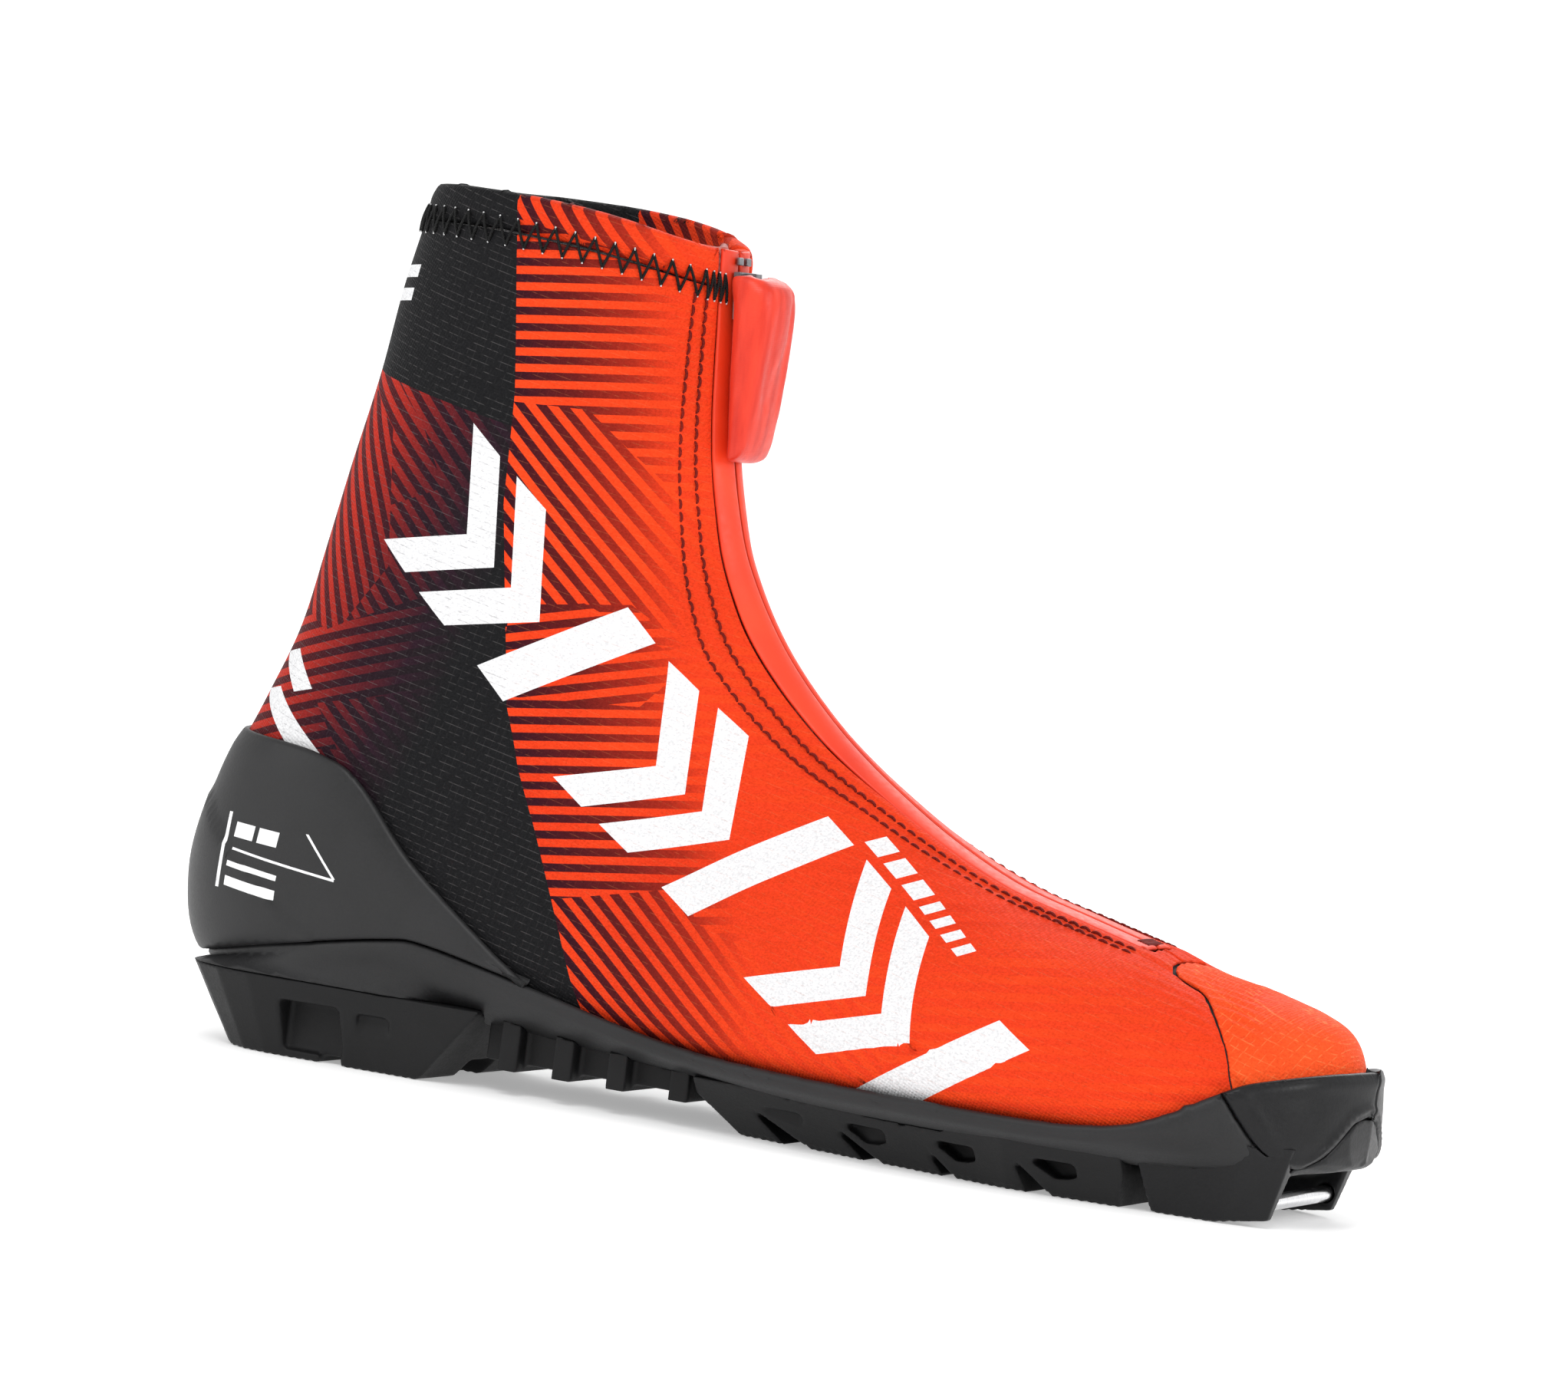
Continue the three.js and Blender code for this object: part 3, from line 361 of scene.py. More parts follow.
def inside_polygon(corners, at):
    """Which points lie within a polygon, seen from the side."""
    poly, x, z = np.array(corners, float), at[:, 0], at[:, 2]
    found = np.zeros(len(x), bool)
    for (x0, z0), (x1, z1) in zip(poly, np.roll(poly, -1, 0)):
        crosses = (z0 > z) != (z1 > z)
        at = (x1 - x0) * (z - z0) / (z1 - z0 if z1 != z0 else 1e-9) + x0
        found ^= crosses & (x < at)
    return found


def normals_of(verts, tris):
    n = np.cross(verts[tris[:, 1]] - verts[tris[:, 0]], verts[tris[:, 2]] - verts[tris[:, 0]])
    out = np.zeros_like(verts)
    for k in range(3):
        np.add.at(out, tris[:, k], n)
    return out / np.maximum(np.linalg.norm(out, axis=1), 1e-12)[:, None]


def open_edges(tris):
    e = np.vstack([tris[:, [0, 1]], tris[:, [1, 2]], tris[:, [2, 0]]])
    key = np.sort(e, 1)
    _, index, count = np.unique(key, axis=0, return_index=True, return_counts=True)
    return e[index[count == 1]]


def weld(verts, tris, tolerance=0.02):
    """One point for those that meet, the triangles over them, and which triangles are left."""
    keys = np.round(verts / tolerance).astype(np.int64)
    _, first, back = np.unique(keys, axis=0, return_index=True, return_inverse=True)
    tris = back.ravel()[tris]
    good = (tris != np.roll(tris, -1, 1)).all(1)
    return verts[first], first, tris[good], np.flatnonzero(good)


RIM_STEPS, WIDEST_ROLL = 5, 1.2


def drawn_in(verts, rim, out, roll):
    """How far each point moves from the rim, most at the rim and none three rolls away from it."""
    tree = KDTree(len(rim))
    for k in rim.tolist():
        tree.insert(verts[k], k)
    tree.balance()
    low, high = verts[rim].min(0) - 3 * roll, verts[rim].max(0) + 3 * roll
    move = np.zeros_like(verts)
    for k in np.flatnonzero(((verts > low) & (verts < high)).all(1)).tolist():
        _, nearest, distance = tree.find(verts[k])
        if distance < 3 * roll:
            move[k] = out[nearest] * (roll * (1 - distance / (3 * roll)))
    return move


def shell(name, patch, wall, relief=None, roll=None):
    """A closed body from a patch: its outer face, an inner face one wall further in, and a rolled
    rim between them. relief moves the outer face, by mm along its normals or by vectors. Gives the
    object, and for each of its faces the patch's triangle that it comes from, or else -1."""
    verts, first, tris, kept = weld(patch.points(), patch.t)
    normal = normals_of(verts, tris)
    deeper = skin(patch.p[first[:1], 0], patch.p[first[:1], 1], patch.depth + 1)
    if (verts[0] - deeper[0]) @ normal[0] < 0:
        tris, normal = tris[:, ::-1], -normal
    edges = open_edges(tris)
    roll = min(wall / 2, WIDEST_ROLL) if roll is None else roll
    out = np.zeros_like(verts)
    tangent = verts[edges[:, 1]] - verts[edges[:, 0]]
    tangent /= np.maximum(np.linalg.norm(tangent, axis=1), 1e-9)[:, None]
    for k in (0, 1):
        np.add.at(out, edges[:, k], np.cross(tangent, normal[edges[:, k]]))
    length = np.linalg.norm(out, axis=1)
    rim = np.flatnonzero(length > 1e-9)
    out[rim] /= length[rim][:, None]
    move = np.zeros(len(verts)) if relief is None else relief(verts, normal)
    move = move if move.ndim == 2 else normal * move[:, None]
    back = -drawn_in(verts, rim, out, roll)
    outer = verts + move + back
    inner = verts - normal * wall + back
    middle, half = (outer + inner) / 2, (outer - inner) / 2
    rings = []
    for k in range(1, RIM_STEPS):
        turn = math.pi * k / RIM_STEPS
        ring = middle + half * math.cos(turn) + out * roll * math.sin(turn)
        rings.append(ring[rim])
    n = len(verts)
    place = np.zeros(n, int)
    place[rim] = np.arange(len(rim))
    on_rim = [place[edges] + 2 * n + k * len(rim) for k in range(RIM_STEPS - 1)]
    chain = [edges, *on_rim, edges + n]
    faces = [tris, tris[:, ::-1] + n]
    for one, two in zip(chain[:-1], chain[1:]):
        faces += [np.c_[one[:, 0], two], np.c_[one[:, 0], two[:, 1], one[:, 1]]]
    faces = np.vstack(faces)
    obj = mesh_object(name, np.vstack([outer, inner, *rings]) * MM, faces)
    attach(obj, "boot")
    source = np.full(len(faces), -1)
    source[:len(tris)] = kept
    return obj, source


def added(name, data):
    obj = bpy.data.objects.new(name, data)
    bpy.context.scene.collection.objects.link(obj)
    return obj


def shade_smooth(mesh):
    mesh.polygons.foreach_set("use_smooth", np.ones(len(mesh.polygons), bool))


def mesh_object(name, verts, faces, flat=False):
    mesh = bpy.data.meshes.new(name)
    mesh.from_pydata(np.asarray(verts).tolist(), [], np.asarray(faces).tolist())
    mesh.update()
    if not flat:
        shade_smooth(mesh)
    return added(name, mesh)


def read(collection, key, width=1, kind=float):
    """One property of all the vertices or loops of a mesh."""
    values = np.zeros(len(collection) * width, kind)
    collection.foreach_get(key, values)
    return values.reshape(-1, width) if width > 1 else values


def mark(mesh, domain, **layers):
    """Writes named values on the points or faces of a mesh, for its look to read."""
    for name, values in layers.items():
        layer = mesh.attributes.new(name, "FLOAT", domain)
        layer.data.foreach_set("value", np.asarray(values, np.float32))


# ------------------------------------------------------------------ materials
class Look:
    """A node material built with few words."""

    def __init__(self, name):
        self.mat = bpy.data.materials.new(name)
        self.mat.use_nodes = True
        self.tree = self.mat.node_tree
        self.bsdf = self.tree.nodes["Principled BSDF"]

    def node(self, kind, inputs=(), out=0, **props):
        n = self.tree.nodes.new(kind)
        for key, value in props.items():
            setattr(n, key, value)
        for key, value in dict(inputs).items():
            self.put(n.inputs[key], value)
        return n.outputs[out]

    def put(self, socket, value):
        if isinstance(value, bpy.types.NodeSocket):
            self.tree.links.new(value, socket)
        elif isinstance(value, tuple) and len(value) == 3 and len(socket.default_value) == 4:
            socket.default_value = (*value, 1)
        else:
            socket.default_value = value

    def set(self, **values):
        for key, value in values.items():
            self.put(self.bsdf.inputs[key.replace("_", " ")], value)
        return self

    def math(self, op, a, b=0.5, c=0.5):
        return self.node("ShaderNodeMath", {0: a, 1: b, 2: c}, operation=op)

    def place(self):
        return self.node("ShaderNodeTexCoord", out=3)

    def noise(self, scale, detail=2.0, rough=0.5, stretch=None):
        at = self.place()
        if stretch:
            at = self.node("ShaderNodeMapping", {"Vector": at, "Scale": stretch})
        return self.node("ShaderNodeTexNoise", {
            "Vector": at, "Scale": scale, "Detail": detail, "Roughness": rough})

    def ramp(self, fac, stops):
        n = self.tree.nodes.new("ShaderNodeValToRGB")
        while len(n.color_ramp.elements) < len(stops):
            n.color_ramp.elements.new(0.5)
        for e, (at, colour) in zip(n.color_ramp.elements, stops):
            e.position = at
            e.color = (*colour, 1)
        self.put(n.inputs[0], fac)
        return n.outputs[0]

    def range(self, value, a, b, c=0.0, d=1.0):
        return self.node("ShaderNodeMapRange", {0: value, 1: a, 2: b, 3: c, 4: d})

    def mix(self, fac, a, b, blend="MIX"):
        n = self.tree.nodes.new("ShaderNodeMix")
        n.data_type = "RGBA"
        n.blend_type = blend
        self.put(n.inputs[0], fac)
        self.put(n.inputs[6], a)
        self.put(n.inputs[7], b)
        return n.outputs[2]

    def attribute(self, name):
        return self.node("ShaderNodeAttribute", out=2, attribute_name=name)

    def bump(self, height, distance, strength):
        return self.node("ShaderNodeBump", {
            "Height": height, "Distance": distance, "Strength": strength})

    def parts(self, vector):
        n = self.tree.nodes.new("ShaderNodeSeparateXYZ")
        self.put(n.inputs[0], vector)
        return n.outputs

    def weave(self, scale, angle=0.0):
        """Crossed threads, scale of them to a metre, seen from the side of the boot."""
        at = self.node("ShaderNodeMapping", {"Vector": self.place(), "Rotation": (0, angle, 0)})
        part, turns = self.parts(at), scale * 2 * math.pi
        return self.math("MULTIPLY", *(
            self.math("SINE", self.math("MULTIPLY", part[k], turns)) for k in (0, 2)))


WHITE, BLACK = (0.84, 0.84, 0.85), (0.0095, 0.0095, 0.0105)


def grainy(name, dark, light, rough, grain=1800, depth=0.00006, spread=0.12, marked=False,
           gloss=0.34):
    """Moulded plastic or rubber: fine grain, faint clouding, roughness that follows both."""
    m = Look(name)
    cloud = m.noise(30, 4, 0.6)
    fine = m.noise(grain, 3, 0.6)
    mixed = m.math("ADD", cloud, m.math("MULTIPLY", fine, 0.5))
    colour = m.mix(m.range(mixed, 0.5, 1.0), dark, light)
    if marked:
        colour = m.mix(m.attribute("white"), colour, WHITE)
    m.set(
        Base_Color=colour, Specular_IOR_Level=gloss,
        Roughness=m.range(m.math("ADD", fine, cloud), 0.6, 1.4, rough - spread, rough + spread),
        Normal=m.bump(
            m.math("ADD", fine, m.math("MULTIPLY", m.noise(220, 2), 0.8)), depth, 0.7),
    )
    return m.mat


ORANGE, DEEP, TOE_ORANGE = (0.90, 0.062, 0.010), (0.72, 0.036, 0.007), (0.93, 0.105, 0.020)


def softshell(name, printed=True):
    """Stretch softshell: a fine twill, ripstop threads and, on the quarters, the print."""
    m = Look(name)
    cloud = m.noise(22, 3, 0.55)
    shades = (DEEP, ORANGE) if printed else (ORANGE, TOE_ORANGE)
    orange = m.mix(m.range(cloud, 0.3, 0.72), *shades)
    fine = m.noise(1500, 2, 0.6, stretch=(1, 1, 1.6))
    part = m.parts(m.node("ShaderNodeUVMap", uv_map="cloth"))
    across, along = (m.range(m.math("PINGPONG", part[k], 0.5), 0.075, 0.0) for k in (1, 0))
    dots = m.range(m.noise(650, 1), 0.4, 0.62)
    thread = m.math("MAXIMUM", across, m.math("MULTIPLY", along, 0.2 if printed else 0.9))
    thread = m.math("MULTIPLY", thread, dots)
    strength = m.math("MULTIPLY", thread, 0.42 if printed else 0.3)
    if printed:
        uv = m.parts(m.node("ShaderNodeUVMap", uv_map="print"))
        wobble = m.math("MULTIPLY", m.noise(160, 1), 0.03)
        ramp = m.math("PINGPONG", m.math("ADD", uv[0], wobble), 0.5)
        stripe = m.range(ramp, 0.235, 0.265)
        bars = m.ramp(m.attribute("fade"), [
            (0.0, (0.013, 0.004, 0.011)), (0.22, (0.036, 0.004, 0.010)),
            (0.5, (0.125, 0.008, 0.007)), (0.78, (0.36, 0.019, 0.007)),
            (1.0, (0.80, 0.045, 0.009)),
        ])
        front = m.mix(stripe, bars, orange)
        glow = m.attribute("glow")
        red = m.ramp(glow, [
            (0.0, BLACK), (0.25, (0.024, 0.008, 0.016)), (0.55, (0.13, 0.010, 0.013)),
            (1.0, (0.52, 0.026, 0.012)),
        ])
        under = m.ramp(glow, [
            (0.0, BLACK), (0.5, (0.020, 0.006, 0.012)), (1.0, (0.085, 0.006, 0.009)),
        ])
        back = m.mix(m.attribute("plain"), m.mix(stripe, under, red), BLACK)
        black = m.attribute("black")
        colour = m.mix(m.attribute("white"), m.mix(black, front, back), WHITE)
        bright = m.mix(black, (1.0, 0.30, 0.12), (0.16, 0.15, 0.15))
        # on the print's orange the threads hardly show
        strength = m.math("MULTIPLY", strength, m.range(black, 0, 1, 0.35, 1.0))
    else:
        colour, bright = orange, (1.0, 0.42, 0.14)
    speck = m.mix(m.range(fine, 0.35, 0.72, 0.0, 0.26), colour, (0.0, 0.0, 0.0))
    colour = m.mix(strength, speck, bright)
    twill = m.math("ADD", fine, m.math("MULTIPLY", m.weave(950, 0.3), 0.5))
    height = m.math("ADD", twill, m.math("MULTIPLY", thread, 0.7))
    m.set(
        Base_Color=colour, Roughness=m.range(fine, 0.3, 0.7, 0.6, 0.78),
        Normal=m.bump(height, 0.00011, 0.9),
        Sheen_Weight=0.02, Sheen_Roughness=0.4, Specular_IOR_Level=0.09,
    )
    return m.mat


def cloth(name, colour, light, scale, rough, sheen=0.25, depth=0.00012):
    """Knit, felt or thread."""
    m = Look(name)
    fine = m.noise(scale, 2, 0.6)
    m.set(
        Base_Color=m.mix(m.range(m.math("ADD", fine, m.noise(40, 3)), 0.7, 1.3), colour, light),
        Roughness=m.range(fine, 0.3, 0.7, rough - 0.06, rough + 0.06),
        Normal=m.bump(m.math("ADD", m.weave(scale * 0.8), fine), depth, 0.8),
        Sheen_Weight=sheen, Sheen_Roughness=0.5, Specular_IOR_Level=0.2,
    )
    return m.mat


def satin():
    """Smooth coated fabric with a fine rib, on the pull."""
    m = Look("pull_satin")
    rib = m.math("SINE", m.math("MULTIPLY", m.parts(m.place())[2], 14000.0))
    streak = m.noise(60, 3, stretch=(6, 6, 1))
    m.set(
        Base_Color=m.mix(
            m.range(streak, 0.3, 0.7), (0.58, 0.024, 0.010), (0.78, 0.050, 0.021)),
        Roughness=m.range(m.noise(900, 2), 0.3, 0.7, 0.34, 0.44), Anisotropic=0.4,
        Normal=m.bump(
            m.math("ADD", m.math("MULTIPLY", rib, 0.3), m.noise(1800, 2)), 0.00003, 0.6),
        Sheen_Weight=0.05, Sheen_Roughness=0.3, Specular_IOR_Level=0.32,
    )
    return m.mat


def coated():
    """The zip's tape, sealed with a thin film."""
    m = Look("zip_coating")
    m.set(
        Base_Color=m.mix(
            m.range(m.noise(50, 3), 0.3, 0.7), (0.72, 0.034, 0.007), (0.86, 0.052, 0.010)),
        Roughness=m.range(m.noise(700, 2), 0.3, 0.7, 0.42, 0.56),
        Normal=m.bump(m.noise(1300, 3), 0.00004, 0.5), Specular_IOR_Level=0.45,
    )
    return m.mat


def metal(name, light, dark, rough):
    """Brushed metal."""
    m = Look(name)
    brush = m.noise(350, 4, 0.6, stretch=(1, 8, 1))
    m.set(
        Base_Color=m.mix(m.range(brush, 0.3, 0.7), light, dark), Metallic=1.0,
        Roughness=m.range(brush, 0.3, 0.7, rough, rough + 0.14),
        Normal=m.bump(brush, 0.00002, 0.5),
    )
    return m.mat


def grey(value, blue=None):
    return (value, value, value if blue is None else blue)


LOOKS = {
    "print": softshell("softshell_print"),
    "toe": softshell("softshell_toe", printed=False),
    "rubber": grainy("sole_rubber", grey(0.008, 0.0085), grey(0.019, 0.020), 0.5),
    "tread": grainy(
        "tread_rubber", grey(0.004, 0.0044), grey(0.011, 0.0115), 0.55, 1500, gloss=0.24),
    "bumper": grainy(
        "toe_moulding", grey(0.005, 0.0055), grey(0.011, 0.012), 0.4, 1400, gloss=0.24),
    "counter": grainy(
        "counter_tpu", grey(0.010, 0.0105), grey(0.019, 0.020), 0.48, 1500, 0.00004, 0.08, True),
    "steel": metal("bar_steel", grey(0.86, 0.87), grey(0.62, 0.64), 0.12),
    "zip_metal": metal("zip_metal", grey(0.30, 0.31), grey(0.16, 0.17), 0.3),
    "black_thread": cloth("black_thread", grey(0.004), grey(0.012), 2200, 0.7, 0.0),
    "red_thread": cloth(
        "red_thread", (0.10, 0.006, 0.004), (0.24, 0.011, 0.005), 2200, 0.7, 0.0),
    "white_thread": cloth("white_thread", grey(0.55), grey(0.8), 2200, 0.7),
    "satin": satin(),
    "coated": coated(),
    "coil": grainy("zip_coil_nylon", grey(0.012), grey(0.03), 0.4),
    "lining": cloth("lining_knit", grey(0.018, 0.019), grey(0.05, 0.052), 620, 0.9, 0.4, 0.0003),
    "tongue": cloth(
        "tongue_knit", (0.35, 0.03, 0.014), (0.55, 0.05, 0.02), 520, 0.88, 0.4, 0.0003),
    "foam": cloth(
        "foam_pad", (0.035, 0.030, 0.032), (0.075, 0.066, 0.068), 380, 0.95, 0.2, 0.0003),
    "footbed": cloth(
        "footbed_felt", grey(0.05, 0.055), grey(0.12, 0.125), 700, 0.92, 0.5, 0.0002),
    "stiffener": grainy(
        "stiffener_fibre", (0.030, 0.028, 0.027), (0.065, 0.060, 0.056), 0.7, 800),
    "board": grainy("board_fibre", (0.06, 0.05, 0.045), (0.13, 0.11, 0.095), 0.75, 600),
}


def dress(obj, look):
    obj.data.materials.clear()
    obj.data.materials.append(LOOKS[look])
    return obj


# ------------------------------------------------------------------ the print
# Fields of stripes before and behind the print's edge, seen from the side: their corners and
# the direction of their stripes in degrees. The base is the direction outside every field.
FRONT_FIELDS = [
    ([[-76, 212], [-20, 212], [-20, 190], [-76, 202.5]], -52),
    ([[-76, 160], [-52.4, 160.4], [-15.7, 128.6], [-17, 104], [-38, 117], [-76, 112]], -45.5),
    ([[-76, 112], [-38, 117], [-10, 98], [6, 96], [20, 74], [0, 58], [-24, 52], [-60, 44]], 7),
    ([[-64, 112], [-48, 116], [-30, 108], [-18, 112], [-32, 94], [-66, 92]], 14),
    ([[-60, 44], [-24, 52], [0, 58], [16, 60], [44, 34], [60, 5], [-40, 5]], -39),
    ([[-10, 57], [2, 59], [18, 60], [26, 45], [10, 44], [-6, 48]], 9),
]
FRONT_BASE = 6
BACK_FIELDS = [
    ([[-116, 163], [-103, 163], [-92, 152], [-84, 138], [-128, 120]], -42),
    ([[-130, 154], [-110, 158], [-101, 150], [-96, 118], [-112, 96], [-132, 96]], -63),
    ([[-134, 110], [-112, 101], [-86, 112], [-74, 100], [-70, 78], [-120, 72], [-138, 72]], 17),
    ([[-110, 84], [-84, 90], [-62, 66], [-60, 20], [-84, 50]], -40),
]
BACK_BASE = -45
PITCH = 3.75
# the part of the back that carries no stripes
PLAIN = [[-150, 170.6], [-60, 152.6], [-60, 240], [-150, 240]]
BACK_LINE = np.array([
    [-144, 60], [-134, 85], [-125, 113], [-117, 146], [-113, 170], [-106, 208],
], float)
EXTRA_WHITE = [
    [[-126.5, 94], [-120.5, 95.5], [-112.5, 87], [-118.5, 85.5]],
    [[-131, 84.5], [-124.5, 86], [-107, 72.5], [-114, 70.5]],
    [[-108, 188], [-100.5, 188.6], [-101, 185.6], [-108.5, 185]],
    [[-109, 182.4], [-101.6, 183], [-102, 180], [-109.4, 179.4]],
]
# The white band: its start, its two directions, its bend, and where its shapes begin along it.
BAND_START = np.array([-94.0, 138.0])
BAND_ALONG, BAND_ACROSS = np.array([0.842, -0.539]), np.array([0.560, 0.828])
BAND_BEND = [0, 42, 75], [4.5, -2.5, -10.5]
BAND_HALF, STROKE, ARM = 18.0, 10.0, 16.0
CHEVRONS, SLASHES = (4, 20, 73, 89, 142, 158), (42, 111, 180)
DASH_FROM, DASH_TO, DASH_LEAN = 19.8, 23.2, 2
DASHES = [(138 + 7.4 * k, 5.2) for k in range(3)]
DASHES += [(138 + (22.2 + 4.6 * k), 2.6) for k in range(4)]


def band_shapes():
    """Chevrons and slashes by turns, along a band that follows the instep down to the sole."""
    def shape(*corners):
        out = []
        for u, v in corners:
            v += np.interp(u, *BAND_BEND)
            out.append((BAND_START + BAND_ALONG * u + BAND_ACROSS * v).tolist())
        return out

    h, out = BAND_HALF, []
    for u in CHEVRONS:
        out.append(shape((u, h), (u + STROKE, h), (u + STROKE + ARM, 0), (u + ARM, 0)))
        out.append(shape((u + ARM, 0), (u + ARM + STROKE, 0), (u + STROKE, -h), (u, -h)))
    for u in SLASHES:
        out.append(shape((u, -h), (u + STROKE, -h), (u + STROKE + ARM, h), (u + ARM, h)))
    # a row of small dashes beside the band
    for u, wide in DASHES:
        out.append(shape((u, DASH_FROM), (u + wide, DASH_FROM),
                         (u + wide + DASH_LEAN, DASH_TO), (u + DASH_LEAN, DASH_TO)))
    return out


def behind_print_edge(at):
    return beside(PRINT_EDGE + [SHIFT, 0], at[:, 0], at[:, 2])


def field_angles(at, back):
    angles = np.where(back, BACK_BASE, FRONT_BASE).astype(float)
    for fields, zone in ((FRONT_FIELDS, ~back), (BACK_FIELDS, back)):
        for corners, angle in fields:
            angles[inside_polygon(corners, at) & zone] = angle
    return angles


def mark_fields(patch):
    """Cuts the patch along the print's outlines, and keeps which triangles show white."""
    shapes = band_shapes() + EXTRA_WHITE
    patch.t = np.vstack(patch.cut(patch.t, above(PRINT_EDGE)))
    for corners in [PLAIN] + [field for field, _ in FRONT_FIELDS + BACK_FIELDS] + shapes:
        patch.etch(corners)
    at = patch.centres()
    patch.white = sum(inside_polygon(corners, at) for corners in shapes) > 0


def lay_cloth(obj, pitch=1.8, lean=-0.23):
    """Coordinates for the ripstop threads, seen from the side."""
    co = read(obj.data.vertices, "co", 3) / MM
    corner = read(obj.data.loops, "vertex_index", kind=int)
    turn = np.array([[math.cos(lean), math.sin(lean)], [-math.sin(lean), math.cos(lean)]])
    uv = co[corner][:, [0, 2]] @ turn.T / pitch
    obj.data.uv_layers.new(name="cloth").data.foreach_set("uv", uv.ravel())


def printed(obj, patch, source):
    """Lays the print's coordinates and masks on a piece made from a patch."""
    mesh = obj.data
    co = read(mesh.vertices, "co", 3) / MM
    corner = read(mesh.loops, "vertex_index", kind=int)
    middle, shown = co[corner.reshape(-1, 3)].mean(1), source >= 0
    at = np.where(shown[:, None], patch.centres()[source], middle)
    black = behind_print_edge(at) > 0
    turn = np.radians(np.repeat(field_angles(at, black), 3))
    x, y, z = co[corner].T
    across = -x * np.sin(turn) + z * np.cos(turn)
    along = x * np.cos(turn) + z * np.sin(turn)
    uv = np.stack([across / PITCH, along / PITCH], 1)
    mesh.uv_layers.new(name="print").data.foreach_set("uv", uv.ravel())
    lay_cloth(obj)
    mark(mesh, "FACE", black=black, white=patch.white[source] & shown,
         plain=inside_polygon(PLAIN, middle))
    x, y, z = co.T
    edge = behind_print_edge(co)
    fade = np.clip(-edge / 42 * (0.75 + 0.25 * smooth(z, 40, 190)) + 0.18, 0, 1)
    fade = np.clip(fade + 0.35 * smooth(x - z * 0.35, -10, 45), 0, 1)
    back = np.abs(x - np.interp(z, BACK_LINE[:, 1], BACK_LINE[:, 0]))
    mark(mesh, "POINT", fade=fade, glow=np.clip(1.18 - back / 46, 0, 1))


# ------------------------------------------------------------------ levels that bound the pieces
ZIP_HALF, COLLAR_BAND = 8.0, 9.0
ZIP_END_X, ZIP_BACK_X = 95.2, -60.0
# the guide channel's arch through the front of the sole
ARCH_Y = np.array([-19, -12.5, -6, 0, 6, 12.5, 19], float)
ARCH_Z = np.array([13.5, 19, 24.5, 26, 24.5, 19, 13.5])
ARCH_HALF, ARCH_FROM_X, ARCH_GAP = 19.6, 130.6, 0.3


def off_zip(half=ZIP_HALF):
    """Outside the zip's strip along the ridge."""
    return lambda p: np.maximum.reduce([
        np.abs(p[:, 1]) - half, p[:, 0] - ZIP_END_X, ZIP_BACK_X - p[:, 0]])


def off_arch(p):
    return np.maximum.reduce([
        np.abs(p[:, 1]) - ARCH_HALF - ARCH_GAP,
        p[:, 2] - (np.interp(p[:, 1], ARCH_Y, ARCH_Z) + ARCH_GAP),
        ARCH_FROM_X - ARCH_GAP - p[:, 0],
    ])


def within(half):
    return lambda p: half - np.abs(p[:, 1])


def from_middle(side, gap):
    return lambda p: p[:, 1] * side - gap


def lateral_medial(name, side):
    return f"{name}_{'lateral' if side < 0 else 'medial'}"


def half_range(side, low=0.0, high=1.0):
    return (low, high) if side < 0 else (2 - high, 2 - low)


FULL = (0.0, 2.0)  # the whole way round
LOW_BAND = COLLAR_TOP - [0, COLLAR_BAND]
BELOW_BAND = below(LOW_BAND, 0.3)
ABOVE_LASTING = above(LASTING, 0.3)


def bumps(verts, scale, seed=0.0):
    """Soft repeatable unevenness from sines, between about -1 and 1."""
    x, y, z = (verts / scale).T
    return (
        np.sin(1.7 * x + 2.3 * y + 0.6 * z + seed)
        + np.sin(0.9 * x - 1.4 * y + 2.1 * z + 1.3 + 2 * seed)
        + np.sin(-1.2 * x + 0.7 * y + 1.9 * z + 4.1 + 3 * seed)
    ) / 3


def bead(distance, width, height):
    return height * np.exp(-(distance / width) ** 2)


def groove(distance, width, depth):
    return -bead(distance, width, depth)


# ------------------------------------------------------------------ the softshell upper
def upper_relief(verts, normal):
    x, y, z = verts.T
    seam = beside(TOE_SEAM, x, z)
    pucker = np.sin(y * 1.5 + z * 0.9) * bead(seam - 2.2, 3.0, 0.22)
    height = groove(seam, 1.3, 0.7) + pucker
    height += 0.32 * bumps(verts, 11.0) * smooth(x, -20, 60) + 0.2 * bumps(verts, 19.0, 2.0)
    # soft creases over the instep and the ankle, where the foot bends
    on_instep = np.exp(-(((x + 20) / 45) ** 2 + ((z - 60) / 40) ** 2))
    height += 0.28 * (np.sin((x * 0.78 + z * 0.62) / 5.2) * on_instep)
    ridge = np.abs(y) - ZIP_HALF
    on_top = (x > ZIP_BACK_X) & (z > 45)
    height += np.where(on_top, bead(ridge - 2.0, 1.8, 0.35) - bead(ridge - 4.4, 0.9, 0.4), 0)
    height += groove(beside(FEATHER, x, z) - 1.0, 2.5, 0.35)
    return height


for side in (-1, 1):
    patch = Patch((2.0, 22.0), half_range(side), 1.45)
    patch.keep(
        BELOW_BAND, ABOVE_LASTING, behind(TOE_SEAM, 0.15), off_zip(), from_middle(side, 0.15))
    mark_fields(patch)
    name = lateral_medial("quarter", side)
    quarter, source = shell(name + "_softshell", patch, 1.5, upper_relief, 0.3)
    printed(quarter, patch, source)
    dress(quarter, "print")
    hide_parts(name)

def toe_relief(verts, normal):
    x, y, z = verts.T
    seam = beside(TOE_SEAM, x, z)
    pucker = np.sin(y * 1.5 + z * 0.9 + 0.8) * bead(seam + 2.4, 3.2, 0.3)
    return groove(seam, 1.3, 0.7) + pucker + 0.3 * bumps(verts, 12.0, 5.0)


